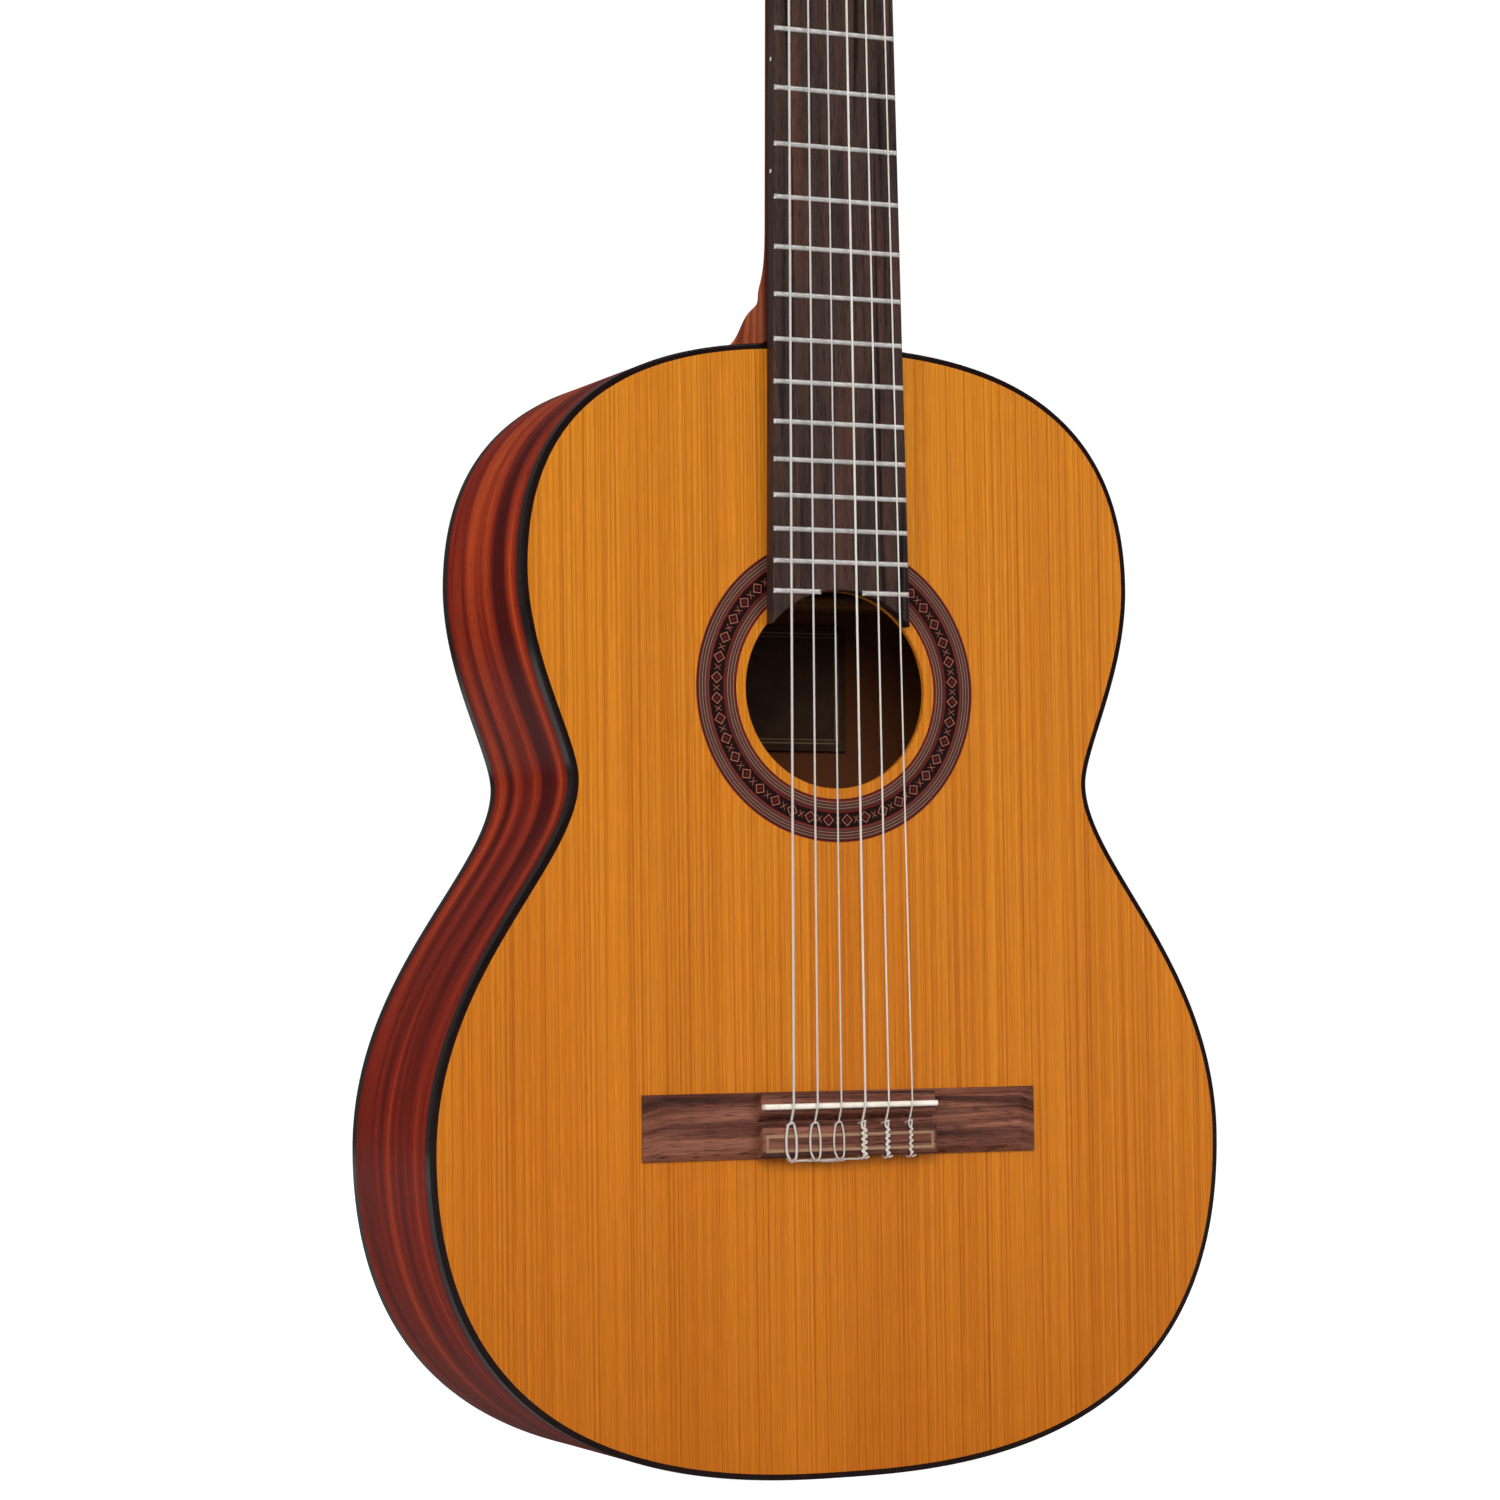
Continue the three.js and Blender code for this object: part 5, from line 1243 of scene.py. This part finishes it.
def treble_tie(x, r):
    """One strand over the tie block with the tail twisted round it three times, and the end left
    standing out."""
    top, edge = -TIE_BLOCK_HEIGHT - r - 0.05, BRIDGE_LOW - r
    hook = TIE_BLOCK_HIGH + 1.5
    strand = through(np.array([
        (0, -TIE_HOLE_DEPTH, edge + 0.6), (0.2, -TIE_HOLE_DEPTH - 1.2, edge - 0.3), (0.3, -7.8, edge - 0.25),
        (0.3, top, edge + 1.0), (0.25, top, edge + 5), (0.3, top, edge + 10), (0.7, top - 0.4, hook - 1.2),
        (0.3, top - 1.0 - r, hook), (-0.7, top - 0.3, hook - 0.6), (-0.6, top - 0.1, hook - 1.8),
    ]) + (x, 0, 0), 7)
    turn = np.linspace(0, 9.5 * math.pi, 90)
    z = np.linspace(hook - 2.4, edge + 1.2, 90)
    across, out = x + 0.25 + 1.7 * r * np.cos(turn + 2.6), top - 1.9 * r * np.abs(np.sin(turn / 2))
    wrap = np.stack([across, out, z], -1)
    end = through(np.array([(0.9, -8.4, edge + 0.3), (1.8, -7.9, edge - 0.2),
        (3.2, -8.2, edge + 0.5)]) + (x, 0, 0), 5)
    return np.vstack([strand, wrap, end])


def winding(number):
    """Turns of string round a roller's barrel, side by side, from where the string arrives."""
    touch, side, z, radius = roller_touch(number)
    turns = 3.6
    t = np.linspace(0, 1, int(turns * 28))
    start = math.atan2(touch[2] - z, -(touch[1] - ROLLER_DEPTH))
    phase = start + 2 * np.pi * turns * t
    x = touch[0] + side * (STRING_DIAMETERS[number - 1] + 0.06) * turns * t
    sink = np.clip((t - 0.97) / 0.03, 0, 1) * 0.5
    points = np.stack([x, ROLLER_DEPTH - (radius - sink) * np.cos(phase),
        z + (radius - sink) * np.sin(phase)], -1)
    return lean(points)


def make_bridge_and_strings():
    """The bridge with its saddle and trim, and each string with its tie and its turns on the roller."""
    body = carve(mesh_of("bridge", bridge()), [("DIFFERENCE", tie_holes())])
    piece("bridge", body, BRIDGE_WOOD, replaces="bridge")
    piece("tie_block_trim", tie_trim(), PALE_TRIM, replaces="tie_block_trim")
    piece("saddle", saddle(), BONE, replaces="saddle")
    piece("nut", nut(), BONE, replaces="nut")
    edge = BRIDGE_LOW
    tails = {
        6: [(6, -7.4, edge - 0.9), (12, -6.6, edge - 1.1), (18, -6.6, edge - 1.0), (26, -6.9, edge - 0.9)],
        5: [(5, -6.2, edge - 1.5), (10, -5.6, edge - 1.6), (15, -5.8, edge - 1.4)],
        4: [(5, -7.4, edge - 0.8), (9, -7.0, edge - 0.9), (12, -7.2, edge - 0.6)],
    }
    for number in range(1, 7):
        radius = STRING_DIAMETERS[number - 1] / 2
        x = string_x(number, SPAN_AT_SADDLE)
        tie = treble_tie(x, radius) if number <= 3 else bass_tie(x, radius, tails[number])
        material, slot = (NYLON, "nylon") if number <= 3 else (WOUND_WIRE, "wound_string")
        piece(f"string_{number}", [tube(main_string(number), radius)], material,
            replaces=f"string_{number}")
        piece(f"string_tie_{number}", [tube(tie, radius, 10)], material)
        piece(f"string_winding_{number}", [tube(winding(number), radius, 10)], material,
            body=f"roller_{number}")


# ---- Tuning machines -----------------------------------------------------------------------------

GEAR_RADIUS = GEAR_TEETH * GEAR_MODULE / 2
THREAD_PITCH = math.pi * GEAR_MODULE
WORM_DISTANCE = GEAR_RADIUS + WORM_PITCH_RADIUS + 0.1
FLANK = math.tan(math.radians(20))


def worm_wheel():
    """Rings across the wheel's thickness. On a tooth ring the radius is pitch radius + (half tooth - d)
    / tan 20, kept between root and tip, where d is the distance along the pitch circle from the
    nearest tooth's middle."""
    angle = np.linspace(0, 2 * np.pi, GEAR_TEETH * 20 + 1)
    share = ((angle + np.pi / 2) * GEAR_TEETH / (2 * np.pi)) % 1
    distance = np.abs(share - 0.5) * THREAD_PITCH
    root, tip = GEAR_RADIUS - 0.85, GEAR_RADIUS + 0.6
    tooth = np.clip(GEAR_RADIUS + (THREAD_PITCH * 0.215 - distance) / FLANK, root, tip)
    half, bore, boss = 1.6, 2.2, 3.3
    even = np.ones_like(angle)
    rings = [
        (-half, bore * even), (-half, boss * even), (-half + 0.25, (boss + 0.2) * even),
        (-half + 0.25, (root - 0.5) * even), (-half, (root - 0.3) * even), (-half, tooth - 0.2),
        (-half + 0.2, tooth), (half - 0.2, tooth), (half, tooth - 0.2), (half, (root - 0.3) * even),
        (half - 0.3, (root - 0.5) * even), (half - 0.3, (boss + 0.2) * even), (half, boss * even),
        (half, bore * even), (-half, bore * even),
    ]
    lean_per_mm = THREAD_PITCH / (2 * math.pi * WORM_PITCH_RADIUS) / GEAR_RADIUS
    rows = []
    for x, r in rings:
        turn = angle + lean_per_mm * x
        rows.append(np.stack([WORM_X + x + 0 * r, r * np.cos(turn), r * np.sin(turn)], -1))
    return [grid(np.array(rows), along_x)]


def worm_and_shaft():
    """A surface of turning whose radius carries the thread: root + a ridge where y / pitch - angle is
    whole."""
    ends = THREAD_PITCH * 1.35
    thread = np.linspace(-ends, ends, 64)
    y = np.concatenate([[-6.3, -6.3, -6.1, -5.9, -4.3, -4.2, -3.3], thread,
        [3.3, 4.2, 4.3, 5.9, 6.1, 23.8, 24.0, 24.0]])
    base = np.concatenate([[0, 1.2, 1.5, 1.5, 1.5, 1.9, 1.9], np.full(64, 1.75),
        [1.9, 1.9, 1.5, 1.5, 1.5, 1.5, 1.3, 0]])
    order = np.argsort(y, kind="stable")
    y, base = y[order][:, None], base[order][:, None]
    angle = np.linspace(0, 2 * np.pi, 41)[None]
    share = y / THREAD_PITCH - angle / (2 * np.pi)
    distance = np.abs(share - np.round(share)) * THREAD_PITCH
    ridge = np.clip(WORM_PITCH_RADIUS + (THREAD_PITCH * 0.2 - distance) / FLANK, 1.5, 3.0)
    fade = np.clip((ends - np.abs(y)) / 0.7, 0, 1)
    radius = np.maximum(base, base + (ridge - base) * fade * (ridge > base))
    points = np.stack([radius * np.sin(angle), y + 0 * angle, radius * np.cos(angle)], -1)
    return [grid(points)]


def button():
    """A turned neck that swells into an oval grip: super-ellipse sections whose two half widths follow
    a smooth line."""
    sizes = through([
        (13.0, 0.01, 0.01), (13.02, 2.4, 2.4), (13.3, 3.0, 3.0), (14.6, 3.1, 3.1), (15.2, 3.3, 3.1),
        (16.6, 5.6, 4.1), (18.8, 7.8, 4.75), (21.8, 8.5, 5.0), (24.6, 8.2, 4.8), (26.6, 6.6, 3.9),
        (27.6, 4.0, 2.6), (27.95, 1.6, 1.1), (28.0, 0.01, 0.01),
    ], 4)
    angle = np.linspace(0, 2 * np.pi, 41)[None]
    y, wide, thick = sizes.T[:, :, None]
    power = 2 / (2 + 0.5 * np.clip((y - 15) / 5, 0, 1))
    cos, sin = np.cos(angle), np.sin(angle)
    x = thick * np.sign(sin) * np.abs(sin) ** power
    z = wide * np.sign(cos) * np.abs(cos) ** power
    return [grid(np.stack([x, y + 0 * x, z], -1))]


def roller():
    """The string's drum: a pin for the web's bore, a barrel with eased shoulders, and a shank with its
    tenon."""
    return turned_x([
        (7.0, 0), (7.0, 2.7), (7.3, 3.0), (11.3, 3.0), (11.3, 4.5), (11.6, BARREL), (12.6, BARREL),
        (13.0, 4.6), (24.6, 4.6), (25.0, BARREL), (35.5, BARREL), (35.8, 4.5), (35.8, 2.4), (39.2, 2.4),
        (39.2, 1.9), (42.4, 1.9), (42.4, 0),
    ])


def slotted_screw(radius, height, shaft_length):
    """A cheese head with a slot, on its shaft, standing along x from zero."""
    profile = [(-shaft_length, 0), (-shaft_length, 0.9), (0, 0.9), (0, radius), (height - 0.35, radius),
        (height - 0.1, radius - 0.18), (height, radius - 0.45), (height, 0)]
    head = mesh_of("screw", turned_x(profile, 32))
    slot = mesh_of("slot", box_shell((height - 0.6, -5, -0.35), (height + 1, 5, 0.35), edge=0.02))
    return carve(head, [("DIFFERENCE", slot)])


def moved_copy(mesh, name, change):
    """A copy of a mesh that stands in body millimetres about the origin, with its points moved by
    change and leant."""
    copy = mesh.copy()
    copy.name = name
    points = np.empty(len(copy.vertices) * 3)
    copy.vertices.foreach_get("co", points)
    local = (points.reshape(-1, 3) - (0.0, FRONT, 0.0)) / MM
    copy.vertices.foreach_set("co", place(lean(change(local))).astype(np.float32).ravel())
    copy.update()
    return copy


def tuner_plate(side):
    """A round-ended strip with a hole for each shank, and two drilled lugs standing out for each worm."""
    angle = np.linspace(0, np.pi, 17)
    end = PLATE_HALF_WIDTH * np.stack([np.cos(angle), np.sin(angle)], -1)
    outline = np.vstack([end + (0, PLATE_HIGH - PLATE_HALF_WIDTH), -end + (0, PLATE_LOW + PLATE_HALF_WIDTH)])
    holes = [circle(0, z, 2.9, 32) for z in ROLLER_HEIGHTS]
    strip = plate(outline, holes, PLATE_INNER, PLATE_INNER + PLATE_THICKNESS, 0.3)
    shells = [(np.stack([p[:, 1], p[:, 0], p[:, 2]], -1), faces, uv) for p, faces, uv in strip]
    start = PLATE_INNER + PLATE_THICKNESS + 0.01
    nose = np.stack([WORM_X + 3 * np.cos(angle - np.pi / 2), 3 * np.sin(angle - np.pi / 2)], -1)
    lug = np.vstack([[(start, -3.0)], nose, [(start, 3.0)]])
    for z in ROLLER_HEIGHTS:
        for low in (-5.9, 4.4):
            made = plate(lug, [circle(WORM_X, 0, WORM_SHAFT + 0.3, 24)], low, low + 1.5, 0.25)
            shells += [(p + (0, 0, z - WORM_DISTANCE), faces, uv) for p, faces, uv in made]
    flip = np.array([side, side, 1])
    return [(p * flip + (0, ROLLER_DEPTH, 0), faces, uv) for p, faces, uv in shells]


def make_tuners():
    """Both side plates with their screws, and six machines: worm and button, wheel, roller and screw."""
    wheel_screw = slotted_screw(3.1, 1.4, 4.0)
    plate_screw = slotted_screw(2.2, 1.0, 6.0)
    for side, name in ((-1, "bass"), (1, "treble")):
        piece(f"tuner_plate_{name}", tuner_plate(side), BRASS, replaces=f"tuner_plate_{name}",
            turned=lean)
        for number, z in enumerate((34.0, 64.5, 99.5, 130.0), 1):
            face = side * (PLATE_INNER + PLATE_THICKNESS)
            place_screw = lambda p, s=side, x=face, h=z: p * (s, s, 1) + (x, ROLLER_DEPTH, h)
            made = moved_copy(plate_screw, f"plate_screw_{name}_{number}", place_screw)
            piece(made.name, made, STEEL)
    for number in range(1, 7):
        _, side, z, _ = roller_touch(number)
        drum = lambda p, s=side, h=z: lean(p * (s, s, 1) + (0, ROLLER_DEPTH, h))
        peg = lambda p, s=side, h=z: lean(p + (s * WORM_X, ROLLER_DEPTH, h - WORM_DISTANCE))
        turning, turned_by = f"roller_{number}", f"button_{number}"
        for name, shells, material, slot in (
            (f"string_roller_{number}", roller(), ROLLER_WHITE, "roller_plastic"),
            (f"tuner_gear_{number}", worm_wheel(), BRASS, "brass"),
        ):
            piece(name, shells, material, turning, name, turned=drum)
        for name, shells, material, slot in (
            (f"worm_shaft_{number}", worm_and_shaft(), STEEL, "steel"),
            (f"tuner_button_{number}", button(), PEARL, "pearl"),
        ):
            piece(name, shells, material, turned_by, name, turned=peg)
        place_screw = lambda p, s=side, h=z: p * (s, s, 1) + (s * 42.7, ROLLER_DEPTH, h)
        made = moved_copy(wheel_screw, f"gear_screw_{number}", place_screw)
        piece(made.name, made, STEEL, turning, f"gear_screw_{number}")


# ---- Camera, floor and light ---------------------------------------------------------------------


def make_camera():
    """A long lens to the bass side of the front, a little above the tail, looking slightly up."""
    data = bpy.data.cameras.new("camera")
    data.lens, data.sensor_width, data.clip_end = 94.84, 36.0, 50.0
    camera = bpy.data.objects.new("camera", data)
    bpy.context.scene.collection.objects.link(camera)
    ahead = Vector((0.41215, 0.90926, 0.05813)).normalized()
    right = Vector((0.91102, -0.41219, -0.01187)).normalized()
    up = right.cross(ahead)
    turn = Matrix((right, up, -ahead)).transposed()
    camera.matrix_world = Matrix.Translation(place((-733.3, -1527.5, 211.5))) @ turn.to_4x4()
    bpy.context.scene.camera = camera


def area_light(name, position, target, size, power, glossy=False):
    """A rectangular lamp that faces its target, in metres and watts."""
    data = bpy.data.lights.new(name, "AREA")
    data.shape, data.size, data.size_y = "RECTANGLE", size[0], size[1]
    data.energy = power
    light = bpy.data.objects.new(name, data)
    bpy.context.scene.collection.objects.link(light)
    direction = Vector(target) - Vector(position)
    facing = direction.to_track_quat("-Z", "Y").to_matrix().to_4x4()
    light.matrix_world = Matrix.Translation(position) @ facing
    light.visible_glossy = glossy


def make_stage():
    """A floor and a surround that look white but give little light, four soft lamps, and two strips that
    show in the gloss."""
    mesh = bpy.data.meshes.new("floor")
    reach = 14.0
    mesh.from_pydata([(-reach, -reach, 0), (reach, -reach, 0), (reach, reach, 0), (-reach, reach, 0)], [],
        [(0, 1, 2, 3)])
    floor = bpy.data.objects.new("floor", mesh)
    bpy.context.scene.collection.objects.link(floor)
    material, tree, shader = new_material("pale_floor", Base_Color=(0.45, 0.45, 0.45, 1), Roughness=0.9,
        Specular_IOR_Level=0.1)
    shader.inputs["Emission Color"].default_value = (1, 1, 1, 1)
    seen = node(tree, "ShaderNodeLightPath").outputs["Is Camera Ray"]
    tree.links.new(seen, shader.inputs["Emission Strength"])
    mesh.materials.append(material)

    world = bpy.data.worlds.new("surround")
    bpy.context.scene.world = world
    world.use_nodes = True
    tree = world.node_tree
    path = node(tree, "ShaderNodeLightPath").outputs["Is Camera Ray"]
    seen = node(tree, "ShaderNodeBackground", {"Color": (1, 1, 1, 1), "Strength": 1.05}).outputs[0]
    felt = node(tree, "ShaderNodeBackground", {"Color": (1, 1, 1, 1), "Strength": 0.13}).outputs[0]
    both = node(tree, "ShaderNodeMixShader", {0: path, 1: felt, 2: seen}).outputs[0]
    tree.links.new(both, tree.nodes["World Output"].inputs["Surface"])

    area_light("key", (-1.2, -2.7, 1.4), (0, 0, 0.35), (1.6, 1.6), 52)
    area_light("fill", (1.5, -2.3, 0.6), (0, 0, 0.25), (1.4, 1.8), 36)
    area_light("side", (-2.4, -0.9, 0.25), (0, 0, 0.3), (1.0, 0.9), 24)
    area_light("rear", (-0.6, 2.4, 0.9), (0, 0, 0.4), (1.6, 1.6), 26)
    area_light("strip", (-2.6, -1.9, 0.9), (0, 0, 0.35), (0.1, 1.8), 5, glossy=True)
    area_light("top_strip", (0.9, -1.6, 2.6), (0, 0, 0.5), (1.4, 0.25), 7, glossy=True)
    bpy.context.scene.view_settings.view_transform = "Standard"


make_camera()
make_soundbox()
make_neck()
make_fretboard()
make_bridge_and_strings()
make_tuners()
make_stage()
